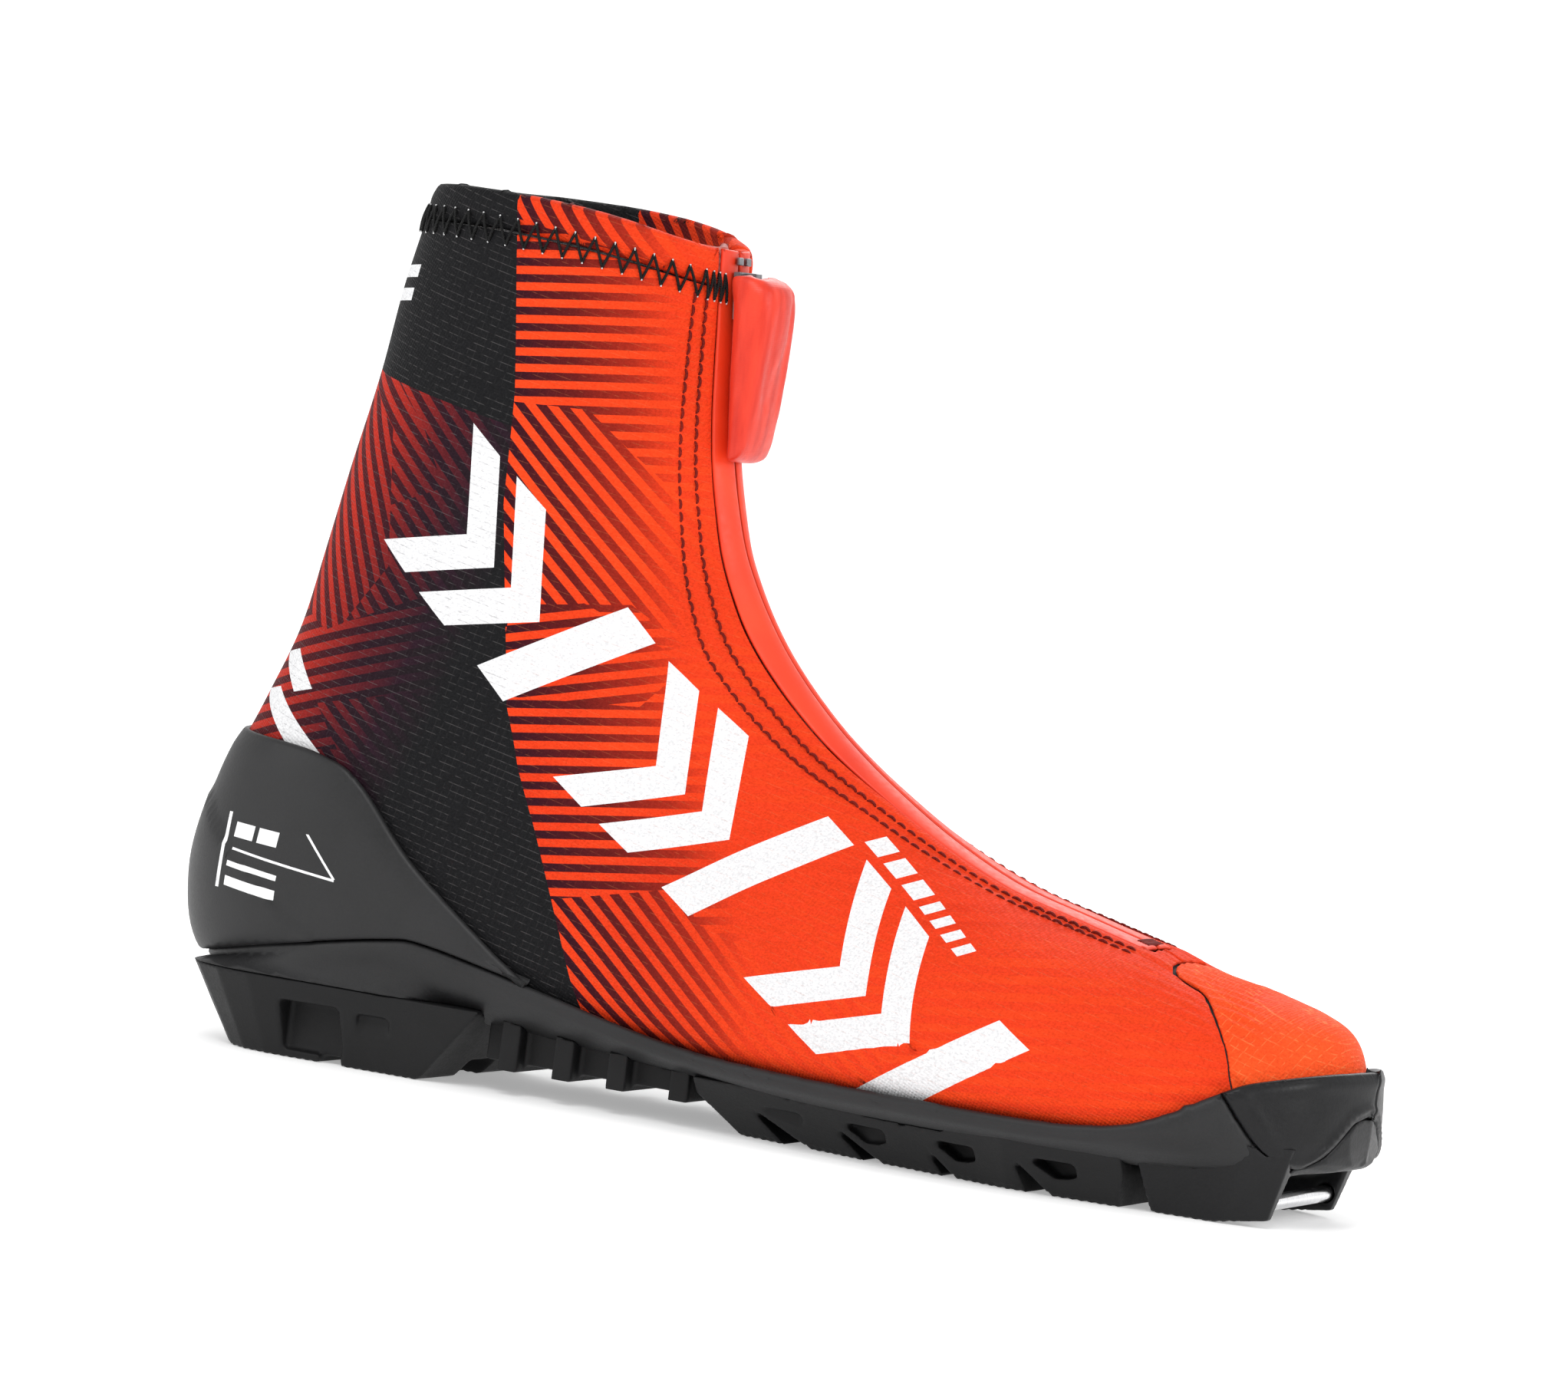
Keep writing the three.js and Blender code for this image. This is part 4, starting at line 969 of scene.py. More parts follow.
patch = Patch((0.0, 6.0), (0.02, 1.98), 1.3).keep(ABOVE_LASTING, ahead(TOE_SEAM, 0.15))
toe, source = shell("toe_panel_softshell", patch, 1.5, toe_relief, 0.3)
lay_cloth(toe, 2.0, -0.35)
dress(toe, "toe")
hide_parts("toe_panel")


def collar_relief(verts, normal):
    up = beside(LOW_BAND, verts[:, 0], verts[:, 2])
    swell = 0.55 * np.sin(np.clip(up / COLLAR_BAND, 0, 1) * math.pi)
    ripple = np.sin(verts[:, 0] / 1.9 + verts[:, 1] / 1.7) * bead(up, 2.2, 0.16)
    return swell - 0.25 + ripple


patch = Patch((18.8, 22.0), FULL, 1.1).keep(below(COLLAR_TOP), above(LOW_BAND), off_zip())
mark_fields(patch)
collar, source = shell("collar_roll", patch, 5.5, collar_relief, 1.4)
printed(collar, patch, source)
dress(collar, "print")
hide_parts("collar_band")


# ------------------------------------------------------------------ plain skin pieces
def ribs(period, height, lean=0.0):
    """Sewn channels that run across the piece."""
    def relief(v, n):
        across = math.pi * (v[:, 0] + lean * v[:, 2]) / period
        return height * (np.abs(np.sin(across)) ** 0.5 - 0.6)
    return relief


def quilt(period, height):
    """Stitched diamonds."""
    def relief(v, n):
        a, b = v[:, 0] + v[:, 2], v[:, 0] - v[:, 2]
        cells = np.abs(np.sin(math.pi * a / period) * np.sin(math.pi * b / period)) ** 0.4
        return height * (cells - 0.8)
    return relief


def counter_relief(v, n):
    x, y, z = v.T
    # a raised pad low at the back, bounded by a slanting step, and an edge thinned at the top
    step = (z - 47) + 0.75 * (x + 128)
    raised = 0.55 * smooth(-step, -0.8, 0.8) * smooth(-x, 100, 104)
    edge = beside(COUNTER_TOP, x, z)
    return raised + 0.12 * bumps(v, 26.0, 1.0) + groove(edge, 3.0, 0.5)


def rand_relief(v, n):
    x, y, z = v.T
    lip = bead(beside(FEATHER, x, z) + 2.4, 1.6, 0.4)
    step = 0.45 * smooth(-beside(RAND_LOW, x, z), -0.3, 0.5)
    seam = groove(beside(CAP_SEAM, x, z), 2.2, 0.35)
    return n * (lip + step + 0.1 * bumps(v, 30.0) + seam)[:, None] + heel_flare(v)


# the heel tread from above: its middle, half its length and width, and its corners' radius
HEEL_TREAD_TOP, HEEL_X, HEEL_HALVES, HEEL_CORNER = 19.2, -100.2, np.array([42.2, 33.9]), 24
HEEL_FLARE_ENDS = -84, -62


def heel_flare(v):
    """Moves the rand outwards at the heel, so that it runs down flush to the edge of the tread."""
    x, y, z = v.T
    at = np.stack([x - HEEL_X, y], 1)
    far = np.abs(at) - (HEEL_HALVES - HEEL_CORNER)
    corner = np.maximum(far, 0)
    reach = np.linalg.norm(corner, axis=1)
    distance = reach + np.minimum(far.max(1), 0) - HEEL_CORNER
    way = np.where(reach[:, None] > 0, corner / np.maximum(reach, 1e-9)[:, None], [0.0, 1.0])
    edge = np.interp(x, FEATHER[:, 0], FEATHER[:, 1])
    share = np.clip((edge - z) / np.maximum(edge - HEEL_TREAD_TOP, 2), 0, 1) ** 0.8
    share *= (z > HEEL_TREAD_TOP - 0.1) * (1 - smooth(x, *HEEL_FLARE_ENDS))
    push = np.clip(-distance - 0.2, 0, 14) * share
    return np.c_[way * np.sign(at) * push[:, None], np.zeros(len(v))]


def bumper_relief(v, n):
    x, y, z = v.T
    cap = beside(CAP_SEAM, x, z)
    lip = bead(beside(FEATHER, x, z) + 2.4, 1.6, 0.35)
    over_arch = np.interp(np.abs(y), ARCH_Y[3:], ARCH_Z[3:]) - z
    rim = bead(over_arch + 2.6, 1.0, 0.5) * (np.abs(y) < 24) * (x > 128)
    return lip + bead(cap + 3.0, 1.6, 0.3) + groove(cap, 2.0, 0.35) + rim


# thin lines and small bars on the counter, in place of its lettering
COUNTER_MARKS = [
    [[-130.2, 55.5], [-129.1, 55.5], [-130.4, 37.5], [-131.5, 37.5]],
    [[-127.5, 47.4], [-127.5, 46.8], [-97.5, 43.6], [-97.5, 44.2]],
    [[-106.3, 53.6], [-105.5, 53.6], [-97.2, 44.2], [-98, 44.2]],
    [[-127, 53.5], [-121, 53.2], [-121.6, 49.6], [-127.6, 49.9]],
    [[-119.6, 53.1], [-113.6, 52.8], [-114.2, 49.2], [-120.2, 49.5]],
    [[-128.2, 44.2], [-113.2, 42.7], [-113.4, 41.4], [-128.4, 42.9]],
    [[-128.4, 40.6], [-113.4, 39.1], [-113.6, 36.8], [-128.6, 38.3]],
]
PUFF = np.array([[110, -30], [110, 90]], float)
VAMP = np.array([[-42, -30], [-38, 20], [-8, 120], [-8, 140]], float)
STIFF = np.array([[-80, -30], [-80, 90]], float)
HEEL_TOP, CUFF = np.array([[-175, 78], [60, 78]], float), level_line(142)
UNDER_TREAD = [[-170, HEEL_TREAD_TOP], [-50, HEEL_TREAD_TOP], [-50, 0], [-170, 0]]
PAD_RIM = [BELOW_BAND, above(FOOTBED_EDGE, 0.3), off_zip(9.0)]


def outside_cup(p):
    """Off the heel stiffener."""
    return np.maximum(ahead(STIFF, -0.15)(p) - 0.3, above(HEEL_TOP, -0.15)(p) - 0.3)


def tape_relief(v, n):
    return 0.25 * np.sin(np.clip((np.abs(v[:, 1]) - 0.7) / 7, 0, 1) * math.pi) - 0.12


# name, cad node, s range, a range, depth of the outer face, wall, step, levels, relief, look, slot
SKINS = [
    ("heel_counter_shell", "heel_counter", (8, 18), FULL, -3.0, 2.7, 1.4,
     [above(FEATHER, 0.3), below(COUNTER_TOP)], counter_relief, "counter", "counter"),
    ("outsole_rand", "outsole_frame", (0, 17), FULL, -2.9, 2.6, 1.5,
     [below(FEATHER), behind(CAP_SEAM, 0.15), off_arch], rand_relief, "rubber", "rubber"),
    ("toe_bumper_cap", "toe_bumper", (0, 5), FULL, -3.5, 3.2, 1.0,
     [below(FEATHER), ahead(CAP_SEAM, 0.15), off_arch], bumper_relief, "bumper", "moulding"),
    ("lasting_board_fibre", "lasting_board", (0, 17), FULL, 0.0, 1.5, 2.6,
     [below(LASTING)], None, "board", "board"),
    ("shank_fibre", "shank_plate", (0, 17), FULL, 1.8, 1.0, 2.6,
     [below(LASTING)], None, "board", "board"),
    ("footbed_felt", "footbed", (0, 18), FULL, 3.1, 3.7, 2.0,
     [below(FOOTBED_EDGE)], None, "footbed", "footbed"),
    ("liner_knit", "liner", (0, 22), FULL, 4.5, 1.0, 2.0, PAD_RIM, None, "lining", "lining"),
    ("toe_puff_fibre", "toe_puff", (0, 5), FULL, 1.8, 2.4, 2.2,
     PAD_RIM + [ahead(PUFF, 0.15)], None, "stiffener", "stiffener"),
    ("heel_stiffener_fibre", "heel_stiffener", (8, 19), FULL, 1.8, 2.4, 2.2,
     PAD_RIM + [behind(STIFF, 0.15), below(HEEL_TOP, 0.15)], None, "stiffener", "stiffener"),
    ("tongue_pad", "tongue", (4.5, 22), (0.7, 1.3), 6.1, 1.8, 1.6,
     [within(14.0), below(COLLAR_TOP, 1.0)], ribs(9.0, 0.5, -0.9), "tongue", "lining"),
]
# of the padded ones, the share of the room inside that is filled
PADS = [
    ("vamp_foam", (2, 20), [behind(PUFF, 0.15), ahead(VAMP, 0.15), below(CUFF)], 0.5),
    ("ankle_pad", (6, 22), [behind(VAMP, 0.15), below(CUFF, 0.15), outside_cup], 0.6),
    ("cuff_pad", (14, 22), [above(CUFF, 0.15)], 0.6),
]
for side in (-1, 1):
    for part, s_range, levels, fill in PADS:
        node = lateral_medial(part, side)
        SKINS.append((
            node + "_pad", node, s_range, half_range(side), 1.8, 2.4, 2.4,
            PAD_RIM + levels + [from_middle(side, 0.15)], quilt(14, 0.3), "foam", "foam"))
    node = lateral_medial("zip_tape", side)
    SKINS.append((
        node + "_coated", node, (4.2, 22), half_range(side, 0.8), -0.2, 1.1, 1.2,
        [from_middle(side, 0.7), within(7.7), below(COLLAR_TOP)], tape_relief,
        "coated", "zip_tape"))
for name, node, s_range, a_range, depth, wall, step, levels, relief, look, slot in SKINS:
    patch = Patch(s_range, a_range, step, depth).keep(*levels)
    if node == "outsole_frame":
        patch.etch(UNDER_TREAD)
    if node == "heel_counter":
        for corners in COUNTER_MARKS:
            patch.etch(corners, -1)
    piece, source = shell(name, patch, wall, relief, 0.7 if node == "toe_bumper" else None)
    if node == "heel_counter":
        at = patch.centres()
        drawn = sum(inside_polygon(corners, at) for corners in COUNTER_MARKS) * (at[:, 1] < 0)
        mark(piece.data, "FACE", white=(drawn[source] > 0) & (source >= 0))
    dress(piece, look)
    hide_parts(node)


# ------------------------------------------------------------------ moulded sole pieces
def apply(obj):
    """Turns an object's modifiers into its own mesh."""
    graph = bpy.context.evaluated_depsgraph_get()
    mesh = bpy.data.meshes.new_from_object(obj.evaluated_get(graph))
    obj.modifiers.clear()
    obj.data = mesh


def remeshed(obj, voxel):
    mod = obj.modifiers.new("remesh", "REMESH")
    mod.mode, mod.voxel_size = "VOXEL", voxel * MM


def softened(obj, turns):
    mod = obj.modifiers.new("soft", "SMOOTH")
    mod.factor, mod.iterations = 0.5, turns


def finished(obj, body, look, slot, *nodes):
    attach(obj, body)
    dress(obj, look)
    if nodes:
        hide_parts(*nodes)


def moulded(name, node, look, slot, voxel=0.55, relief=None):
    """A refined copy of a CAD solid: its edges rounded as a mould rounds them."""
    obj = added(name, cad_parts[node].data.copy())
    remeshed(obj, voxel)
    softened(obj, 3)
    apply(obj)
    mesh = obj.data
    if relief:
        co, no = read(mesh.vertices, "co", 3) / MM, read(mesh.vertices, "normal", 3)
        moved = (co + no * relief(co, no)[:, None]) * MM
        mesh.vertices.foreach_set("co", moved.ravel())
        mesh.update()
    shade_smooth(mesh)
    finished(obj, "boot", look, slot, node)


def serrated(co, no):
    """Fine teeth under the lugs, and worn edges."""
    under = (no[:, 2] < -0.6) & (co[:, 2] < 1.0)
    teeth = np.where(under, -0.22 * (0.5 + 0.5 * np.sin(co[:, 0] * 2.9)), 0)
    return teeth + 0.05 * bumps(co, 4.0)


moulded("heel_tread_rubber", "heel_tread", "tread", "rubber", relief=serrated)
moulded("forefoot_tread_rubber", "forefoot_tread", "tread", "rubber", relief=serrated)
moulded("midfoot_bridge_rubber", "midfoot_bridge", "tread", "rubber", 0.5)
moulded("binding_block_moulded", "binding_block", "bumper", "moulding", 0.45, relief=serrated)


# ------------------------------------------------------------------ tubes: bar, coils, threads
def tube(points, radius, around, caps=True):
    """Vertices and faces of a round tube along points in mm."""
    p = np.asarray(points, float)
    d = np.gradient(p, axis=0)
    d /= np.maximum(np.linalg.norm(d, axis=1), 1e-9)[:, None]
    up = np.array([0.0, 1.0, 0.0]) if abs(d[0] @ [0, 1, 0]) < 0.9 else np.array([1.0, 0, 0])
    sides = []
    for v in d:
        up = up - v * (up @ v)
        up /= np.linalg.norm(up)
        sides.append(up)
    u = np.array(sides)
    w = np.cross(d, u)
    r = np.broadcast_to(radius, len(p))[:, None, None]
    turn = np.linspace(0, 2 * math.pi, around, endpoint=False)
    ring = u[:, None] * np.cos(turn)[None, :, None] + w[:, None] * np.sin(turn)[None, :, None]
    verts = (p[:, None] + ring * r).reshape(-1, 3)
    faces = []
    for i in range(len(p) - 1):
        for j in range(around):
            a, b = i * around + j, i * around + (j + 1) % around
            faces += [[a, b, b + around], [a, b + around, a + around]]
    if caps:
        n = len(verts)
        verts = np.vstack([verts, p[0] - d[0] * r[0, 0] * 0.4, p[-1] + d[-1] * r[-1, 0] * 0.4])
        last = (len(p) - 1) * around
        for j in range(around):
            faces += [[n, (j + 1) % around, j], [n + 1, last + j, last + (j + 1) % around]]
    return verts, np.array(faces)


def gathered(name, parts, look, slot, body="boot", nodes=()):
    """One piece from many tubes."""
    verts, faces, base = [], [], 0
    for v, f in parts:
        verts.append(v)
        faces.append(f + base)
        base += len(v)
    finished(mesh_object(name, np.vstack(verts) * MM, np.vstack(faces)), body, look, slot, *nodes)


low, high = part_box("binding_bar")
mid_x, mid_z = (low.x + high.x) / 2 / MM, (low.z + high.z) / 2 / MM
radius = (high.z - low.z) / 2 / MM * 0.995
along = np.linspace(low.y / MM, high.y / MM, 40)
chamfer = np.minimum(1, 0.72 + 0.28 * np.minimum(along - along[0], along[-1] - along) / 0.8)
bar = tube([[mid_x, y, mid_z] for y in along], radius * chamfer, 48)
gathered("binding_bar_steel", [bar], "steel", "steel", nodes=["binding_bar"])


def between(points, k):
    """The point at a broken place k along a row of them."""
    i = min(int(k), len(points) - 2)
    return points[i] + (k - i) * (points[i + 1] - points[i])


def ridge_points(s_values, y, depth, steps=240):
    """Points near the ridge at a given distance from the middle."""
    out = []
    for s in s_values:
        p = skin(np.full(steps, s), np.linspace(0.62 if y < 0 else 1.38, 1.0, steps), depth)
        out.append(between(p, np.interp(-abs(y), -np.abs(p[:, 1]), np.arange(steps))))
    return np.array(out)


Y_AXIS = np.array([0, 1, 0])


def resample(points, spacing):
    run = np.r_[0, np.cumsum(np.linalg.norm(np.diff(points, axis=0), axis=1))]
    n = max(2, int(round(run[-1] / spacing)) + 1)
    at = np.linspace(0, run[-1], n)
    return np.stack([np.interp(at, run, points[:, k]) for k in range(3)], 1)


def out_of(points):
    """Outward directions at points of the skin near the ridge, across the line they make."""
    d = np.gradient(points, axis=0)
    n = np.cross(d, [0, 1, 0])
    n /= np.linalg.norm(n, axis=1)[:, None]
    return n * np.where(n[:, 2:] + n[:, :1] < 0, -1, 1)


COIL_PITCH, COIL_STEPS, COIL_Y, COIL_DEPTH = 1.3, 8, 1.65, 2.2
for side in (-1, 1):
    core = ridge_points(np.linspace(4.3, 21.6, 120), side * COIL_Y, COIL_DEPTH)
    core = resample(core, COIL_PITCH / COIL_STEPS)
    core = core[core[:, 2] < np.interp(core[:, 0], COLLAR_TOP[:, 0], COLLAR_TOP[:, 1]) - 1]
    turn = (np.arange(len(core)) * 2 * math.pi / COIL_STEPS)[:, None]
    helix = core + out_of(core) * (0.68 * np.sin(turn)) + Y_AXIS * (0.62 * np.cos(turn))
    node = lateral_medial("zip_coil", side)
    gathered(node + "_teeth", [tube(helix, 0.26, 5)], "coil", "zip_coil", nodes=[node])


def stitches(path, length, gap, radius, lift, spacing=0.5):
    """Short threads laid along a path, sinking at both ends."""
    points = resample(path, spacing)
    normal = lift(points)
    step, span = int(round((length + gap) / spacing)), int(round(length / spacing))
    height = radius * (2.2 * np.sin(math.pi * np.linspace(0, 1, span + 1)) ** 0.6 - 1.0)
    parts = []
    for i in range(0, len(points) - span, step):
        part = slice(i, i + span + 1)
        parts.append(tube(points[part] + normal[part] * height[:, None], radius, 6))
    return parts


def leaning(side):
    """Outwards at points of the skin beside the zip, where it slopes away."""
    def lift(points):
        n = out_of(points) + [0, 0.38 * side, 0]
        return n / np.linalg.norm(n, axis=1)[:, None]
    return lift


rows = []
for side in (-1, 1):
    for y in (11.6, 14.6):
        path = ridge_points(np.linspace(4.25, 21.0, 140), side * y, 0)
        path = path[beside(LOW_BAND, path[:, 0], path[:, 2]) < -1.5]
        rows += stitches(path, 2.3, 0.8, 0.33, leaning(side))
gathered("zip_edge_stitching", rows, "red_thread", "thread")


def edge_point(a, line, offset, depth, steps=160):
    """The point of the skin at a share of the way round, a given distance above a line."""
    p = skin(np.linspace(18.6, 22.0, steps), np.full(steps, a), depth)
    level = beside(line, p[:, 0], p[:, 2]) - offset
    return between(p, np.interp(0, level, np.arange(steps)))


COLLAR_MIDDLE_X = -66.0
# the collar's zigzag: half its height, a stroke's advance, the girth, and the shares of the way
# to the zip where the strokes crowd together and where they stop
ZIG_HALF, ZIG_STROKE, GIRTH, DENSE_FROM, ZIG_END = 3.1, 2.1, 208.0, 0.9, 0.955
THREAD, KNOT = 0.34, 0.2


def outward(points):
    out = points - [COLLAR_MIDDLE_X, 0, 0]
    out[:, 2] = 0
    return out / np.linalg.norm(out, axis=1)[:, None]


def zigzag():
    """One thread round the collar in long and short strokes, closer together beside the zip, and
    the pale knots of the under thread at its corners."""
    thread, knots = [], []
    step = ZIG_STROKE / (GIRTH / 2)
    shares = np.r_[
        np.arange(0, DENSE_FROM, step), np.arange(DENSE_FROM, ZIG_END, step * 0.42)]
    t = np.linspace(0, 1, 7)[:, None]
    for side in (-1, 1):
        corners = []
        for k, share in enumerate(shares):
            share += 0.35 * step if k % 2 and share < DENSE_FROM else 0
            height = -ZIG_HALF if k % 2 else ZIG_HALF
            corners.append(edge_point(share if side < 0 else 2 - share, LOW_BAND, height, -0.35))
        for p, q in zip(corners[:-1], corners[1:]):
            line = p + (q - p) * t
            bowed = line + outward(line) * (THREAD * np.sin(math.pi * t) - 0.02)
            thread.append(tube(bowed, THREAD, 6))
        for p in corners:
            end = np.array([p + [0, 0, h] for h in (-0.32, 0, 0.32)])
            knots.append(tube(end + outward(end) * 0.12, KNOT, 6))
    return thread, knots


collar_thread, collar_knots = zigzag()
gathered("collar_zigzag", collar_thread, "black_thread", "thread", nodes=["collar_stitching"])

gathered("collar_knots", collar_knots, "white_thread", "thread")


def tack(x, half, rows_count, advance=0.62, steps=200):
    """Threads side by side across the ridge, from x forwards."""
    s = np.linspace(3.0, 5.0, steps)
    ridge = skin(s, np.full(steps, 1.0), 0)
    parts = []
    for k in range(rows_count):
        at = np.interp(-(x + k * advance), -ridge[:, 0], s)
        across = [v if abs(v) > 0.05 else 0.05 for v in np.linspace(-half, half, 15)]
        parts.append(tube([ridge_points([at], v, -0.25)[0] for v in across], 0.3, 6))
    return parts


# the bar tack that closes the zip
gathered("zip_end_tack", tack(90.6, 4.6, 5), "red_thread", "thread", nodes=["zip_bottom_stop"])


# ------------------------------------------------------------------ slider, bail, stops and pull
def bevelled(name, node, look, slot, body, width):
    """A copy of a CAD solid with its edges rounded off."""
    obj = added(name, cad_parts[node].data.copy())
    bm = bmesh.new()
    bm.from_mesh(obj.data)
    bmesh.ops.remove_doubles(bm, verts=bm.verts, dist=1e-6)
    bmesh.ops.dissolve_limit(bm, angle_limit=0.02, verts=bm.verts, edges=bm.edges)
    bm.to_mesh(obj.data)
    bm.free()
    mod = obj.modifiers.new("bevel", "BEVEL")
    mod.width, mod.segments, mod.limit_method, mod.angle_limit = width * MM, 3, "ANGLE", 0.6
    apply(obj)
    shade_smooth(obj.data)
    obj.modifiers.new("normals", "WEIGHTED_NORMAL").keep_sharp = True
    finished(obj, body, look, slot, node)


bevelled("zip_slider_cast", "zip_slider", "zip_metal", "zip_metal", "slider", 0.28)
for side in (-1, 1):
    node = lateral_medial("zip_top_stop", side)
    bevelled(node + "_pressed", node, "zip_metal", "zip_metal", "boot", 0.22)

# the pull's hinge, and the ways down along the zip and out from it there
PIVOT = np.array([-27.72, 0, 193.955])
DOWN, OUT = np.array([0.10196, 0, -0.99479]), np.array([0.99479, 0, 0.10196])
PULL_HALF = 9.0
BAIL_WIRE, BAIL_DOWN, BAIL_ACROSS = 0.6, 3.5 - 0.6, 4.6 - 0.6


def rounded(c):
    return (np.sign(c) * np.abs(c) ** 0.45)[:, None]


low, high = (np.array(v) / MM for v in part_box("zip_bail"))
turn = np.linspace(0, 2 * math.pi, 65)
ring = (low + high) / 2 + DOWN * (BAIL_DOWN * rounded(np.cos(turn)))
ring = ring + Y_AXIS * (BAIL_ACROSS * rounded(np.sin(turn)))
gathered("zip_bail_wire", [tube(ring, BAIL_WIRE, 10, caps=False)], "zip_metal", "zip_metal",
         "bail", ["zip_bail"])


def spread(line, at, n):
    """n points of a line seen from the side, evenly over the values at."""
    where = np.linspace(0, at[-1], n)
    return np.stack([np.interp(where, at, line[:, k]) for k in (0, 1)], 1)


def pull_form(n=72, around=60):
    """The padded pull as rings from its foot to its top, between its back and its front edge."""
    front = spline([
        [-26.6, 152.6], [-24.2, 152.1], [-21.0, 154.4], [-19.6, 160], [-18.4, 170], [-17.6, 180],
        [-17.4, 188.0], [-18.4, 193.1], [-21.6, 195.6], [-25.2, 196.3], [-28.4, 195.7],
    ])
    ridge = skin(np.linspace(14, 22, 240), np.full(240, 1.0), -1.15)
    heights = np.linspace(152.9, 195.6, 60)
    back = np.stack([np.interp(heights, ridge[:, 2], ridge[:, 0]), heights], 1)
    run = np.r_[0, np.cumsum(np.hypot(*np.diff(front, axis=0).T))]
    front, back = spread(front, run, n), spread(back, np.linspace(0, 1, len(back)), n)
    turn = np.linspace(0, 2 * math.pi, around, endpoint=False)
    c, d = np.cos(turn), np.sin(turn)
    rings = []
    for t, f, b in zip(np.arange(n) / (n - 1), front, back):
        end = min(1.0, min(t, 1 - t) / 0.06) ** 0.5
        half = PULL_HALF * (0.93 + 0.07 * end) * (1 - 0.05 * math.sin(math.pi * t))
        y = half * np.sign(d) * np.abs(d) ** 0.6
        # the front is crowned, with a shallow trough on each side of its middle
        crown = np.sign(c) * np.abs(c) ** np.where(c > 0, 0.7, 0.3)
        dip = bead(np.abs(y) - 4.2, 1.6, 0.06) * (c > 0) * math.sin(math.pi * t)
        xz = b + (f - b) * (0.5 + 0.5 * crown - dip)[:, None]
        rings.append(np.stack([xz[:, 0], y, xz[:, 1]], 1))
    return np.array(rings)


def closed_rings(rings):
    """Vertices and faces of a closed body over rings."""
    n, around = rings.shape[:2]
    verts = np.vstack([rings.reshape(-1, 3), rings[0].mean(0), rings[-1].mean(0)])
    i, j = np.meshgrid(np.arange(n - 1), np.arange(around), indexing="ij")
    a, b = (i * around + j).ravel(), (i * around + (j + 1) % around).ravel()
    foot, top, last = n * around, n * around + 1, (n - 1) * around
    k = np.arange(around)
    ends = [np.stack([np.full(around, foot), (k + 1) % around, k], 1),
            np.stack([np.full(around, top), last + k, last + (k + 1) % around], 1)]
    sides = [np.stack([a, b, b + around], 1), np.stack([a, b + around, a + around], 1)]
    return verts, np.vstack(sides + ends)


def boxed(name, middle, axes, halves):
    signs = (-1, 1)
    corners = np.array([[i, j, k] for i in signs for j in signs for k in signs], float) * halves
    verts = middle + corners @ np.array(axes)
    quads = [
        [0, 1, 3, 2], [4, 6, 7, 5], [0, 4, 5, 1], [2, 3, 7, 6], [0, 2, 6, 4], [1, 5, 7, 3]]
    return mesh_object(name, verts * MM, quads, flat=True)


def outward_faces(obj):
    bm = bmesh.new()
    bm.from_mesh(obj.data)
    bmesh.ops.recalc_face_normals(bm, faces=bm.faces)
    bm.to_mesh(obj.data)
    bm.free()


verts, faces = closed_rings(pull_form())
pull = mesh_object("zip_pull_padded", verts * MM, faces)
# the hollow behind it, where the slider and the bail lie: it reaches from PAST beyond the pull's
# top and back to ROOM_DEPTH out from the hinge, and down past the slider
PAST, ROOM_HALF, ROOM_DEPTH = 9, 6.0, 4.4
lowest = min(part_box(node)[0].z for node in ("zip_slider", "zip_bail")) / MM
room_end = PIVOT[2] - lowest + 1.2
room_middle = PIVOT + DOWN * (room_end - PAST) / 2 + OUT * (ROOM_DEPTH - PAST) / 2
room_halves = [(room_end + PAST) / 2, (ROOM_DEPTH + PAST) / 2, ROOM_HALF]
room = boxed("room", room_middle, (DOWN, OUT, Y_AXIS), room_halves)
outward_faces(room)
remeshed(pull, 0.6)
apply(pull)
outward_faces(pull)
hollow = pull.modifiers.new("hollow", "BOOLEAN")
hollow.object, hollow.operation, hollow.solver = room, "DIFFERENCE", "EXACT"
apply(pull)
bpy.data.objects.remove(room)

SWELL, SWELL_BY_BAIL = 1.2, 0.1  # the most that the pull's skin may move


def inflate(obj, frames=20):
    """Cloth with a little pressure, so that the fabric swells and creases by itself."""
    remeshed(obj, 1.0)
    apply(obj)
    before = read(obj.data.vertices, "co", 3)
    sim = obj.modifiers.new("cloth", "CLOTH")
    settings = sim.settings
    settings.use_pressure, settings.uniform_pressure_force = True, 4.0
    settings.effector_weights.gravity = 0
    settings.quality, settings.mass = 6, 0.15
    settings.tension_stiffness = settings.compression_stiffness = 30
    settings.bending_stiffness = 0.4
    settings.shrink_min = -0.03
    sim.point_cache.frame_start, sim.point_cache.frame_end = 1, frames
    for k in range(1, frames + 1):
        bpy.context.scene.frame_set(k)
    apply(obj)
    bpy.context.scene.frame_set(1)
    move = read(obj.data.vertices, "co", 3) - before
    # the faces round the hollow and by the bail hardly move, so that the pull can swing
    at = before / MM - PIVOT
    out, down = at @ OUT, at @ DOWN
    held = (out < 5.0) & (np.abs(before[:, 1]) / MM < 7.0) | (down < 1.5) | (out < 0.5)
    most = np.where(held, SWELL_BY_BAIL, SWELL)[:, None]
    size = np.linalg.norm(move, axis=1)[:, None]
    move *= np.minimum(1, most * MM / np.maximum(size, 1e-9))
    obj.data.vertices.foreach_set("co", (before + move).ravel())
    softened(obj, 7)
    sub = obj.modifiers.new("sub", "SUBSURF")
    sub.levels = sub.render_levels = 1
    apply(obj)


inflate(pull)
shade_smooth(pull.data)
finished(pull, "pull_tab", "satin", "pull_fabric", "zip_pull_tab")


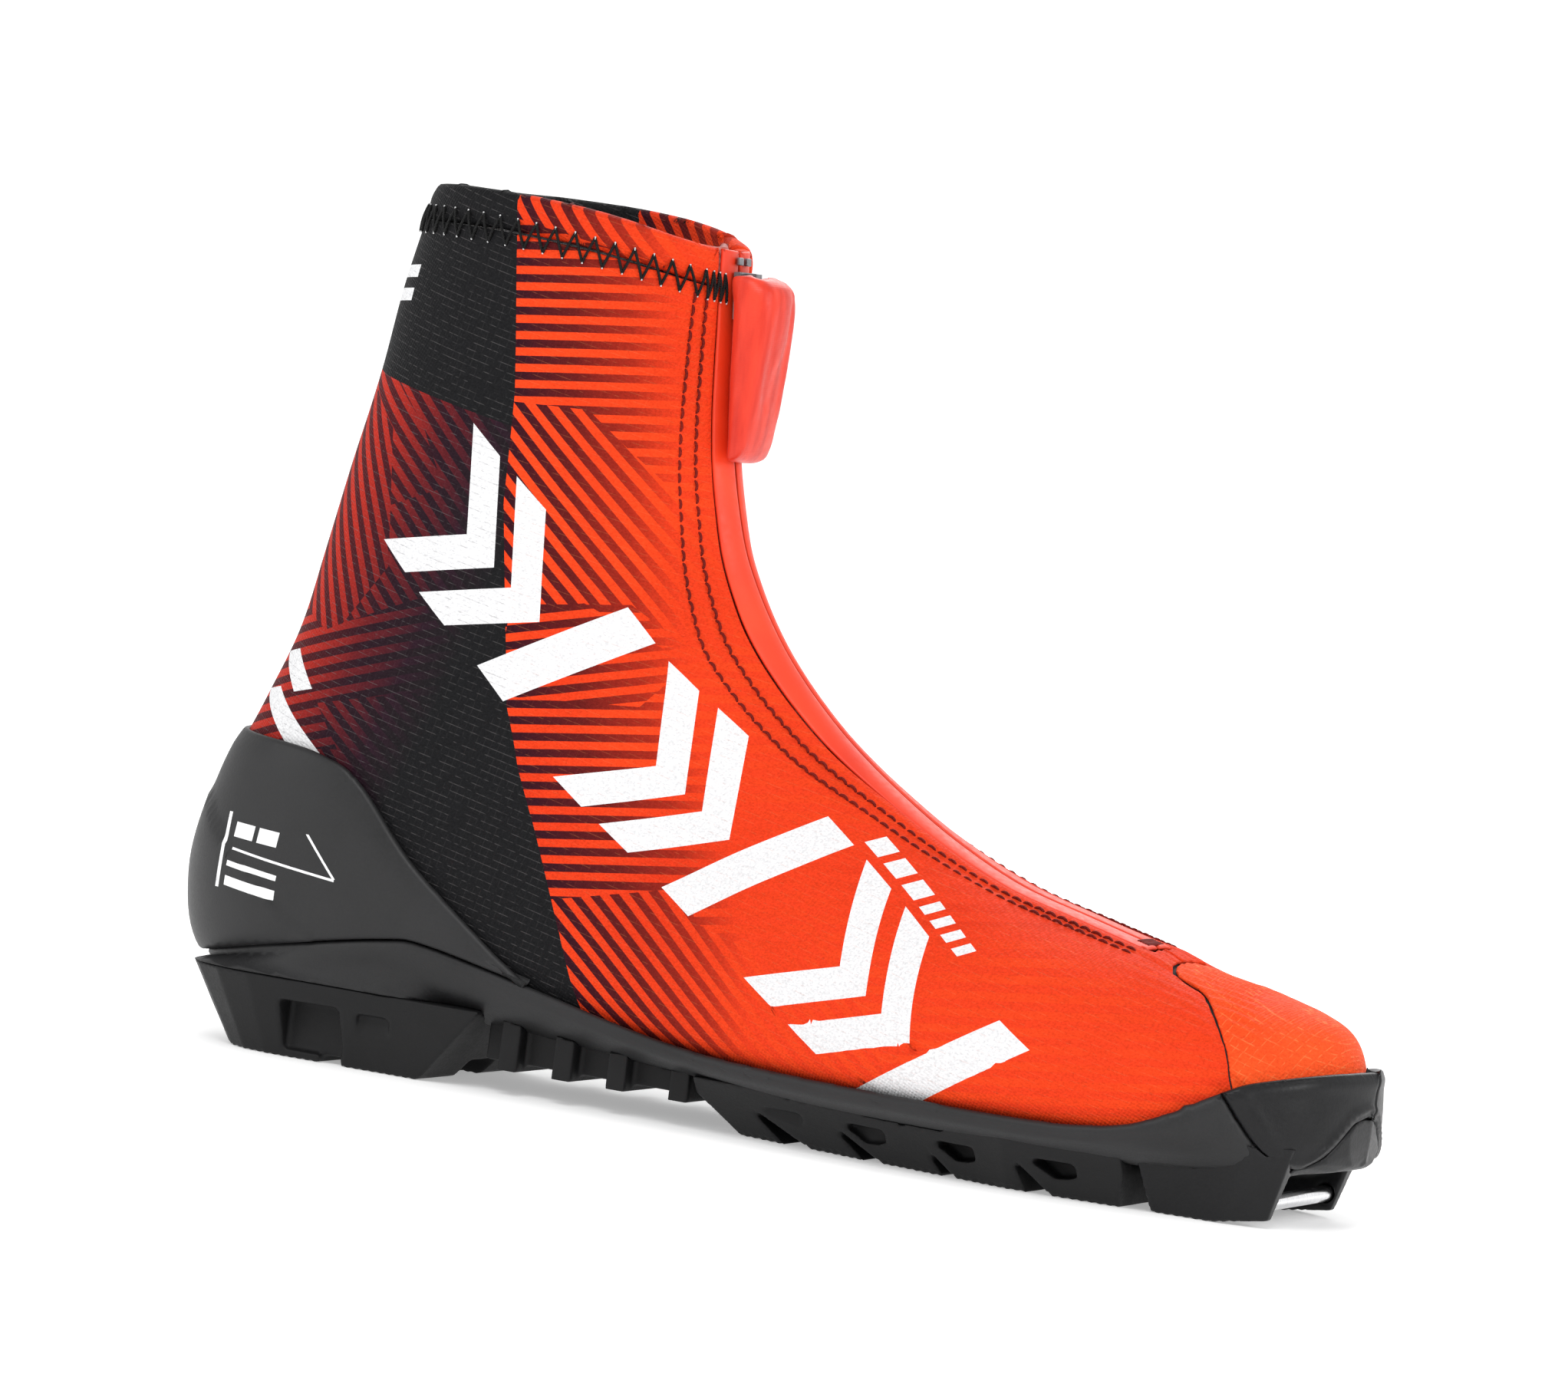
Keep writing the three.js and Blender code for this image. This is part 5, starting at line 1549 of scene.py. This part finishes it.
# ------------------------------------------------------------------ studio
def area(name, location, target, size, power):
    light = bpy.data.lights.new(name, "AREA")
    light.shape, light.size, light.energy = "DISK", size, power
    obj = added(name, light)
    obj.location = location
    way = Vector(target) - Vector(location)
    obj.rotation_euler = way.to_track_quat("-Z", "Y").to_euler()


area("key", (0.35, -1.5, 1.7), (0, 0, 0.08), 0.8, 16)
area("fill", (-1.6, -1.3, 0.7), (0, 0, 0.08), 1.2, 7)
area("front", (1.9, -0.3, 0.8), (0.05, 0, 0.1), 0.8, 10)
area("back", (-0.4, 1.7, 1.4), (0, 0, 0.1), 1.2, 12)

world = bpy.data.worlds.new("studio")
world.use_nodes = True
background = world.node_tree.nodes["Background"].inputs
background[0].default_value, background[1].default_value = (1, 1, 1, 1), 0.72
bpy.context.scene.world = world


def cyclorama(half=5.0, near=-3.0, far=3.0, bend=1.5, top=5.0):
    """A pale floor that curves up into a backdrop far behind."""
    profile = [(near, 0.0), (far, 0.0)]
    for t in np.linspace(0.1, math.pi / 2, 12):
        profile.append((far + bend * math.sin(t), bend - bend * math.cos(t)))
    profile.append((far + bend, top))
    verts = [(side * half, y, z) for y, z in profile for side in (-1, 1)]
    faces = [(2 * k, 2 * k + 1, 2 * k + 3, 2 * k + 2) for k in range(len(profile) - 1)]
    floor = mesh_object("floor", verts, faces)
    look = Look("floor_paper")
    tone = look.range(look.noise(3, 2), 0.3, 0.7)
    look.set(
        Base_Color=look.mix(tone, grey(0.90), grey(0.93)), Roughness=0.9,
        Specular_IOR_Level=0.1, Emission_Color=(1.0, 1.0, 1.0), Emission_Strength=0.34,
    )
    floor.data.materials.append(look.mat)


cyclorama()

camera_data = bpy.data.cameras.new("camera")
camera_data.lens, camera_data.sensor_width = 185.26, 36.0
camera_data.clip_start, camera_data.clip_end = 0.1, 50
camera = added("camera", camera_data)
# its right, up and backwards
turned = Matrix((
    (0.904654, 0.406737, 0.127141), (-0.139173, 0, 0.990268), (0.402778, -0.913545, 0.056607),
)).transposed().to_4x4()
camera.matrix_world = Matrix.Translation((0.74772, -1.71066, 0.20793)) @ turned
bpy.context.scene.camera = camera
bpy.context.scene.view_settings.view_transform = "Standard"
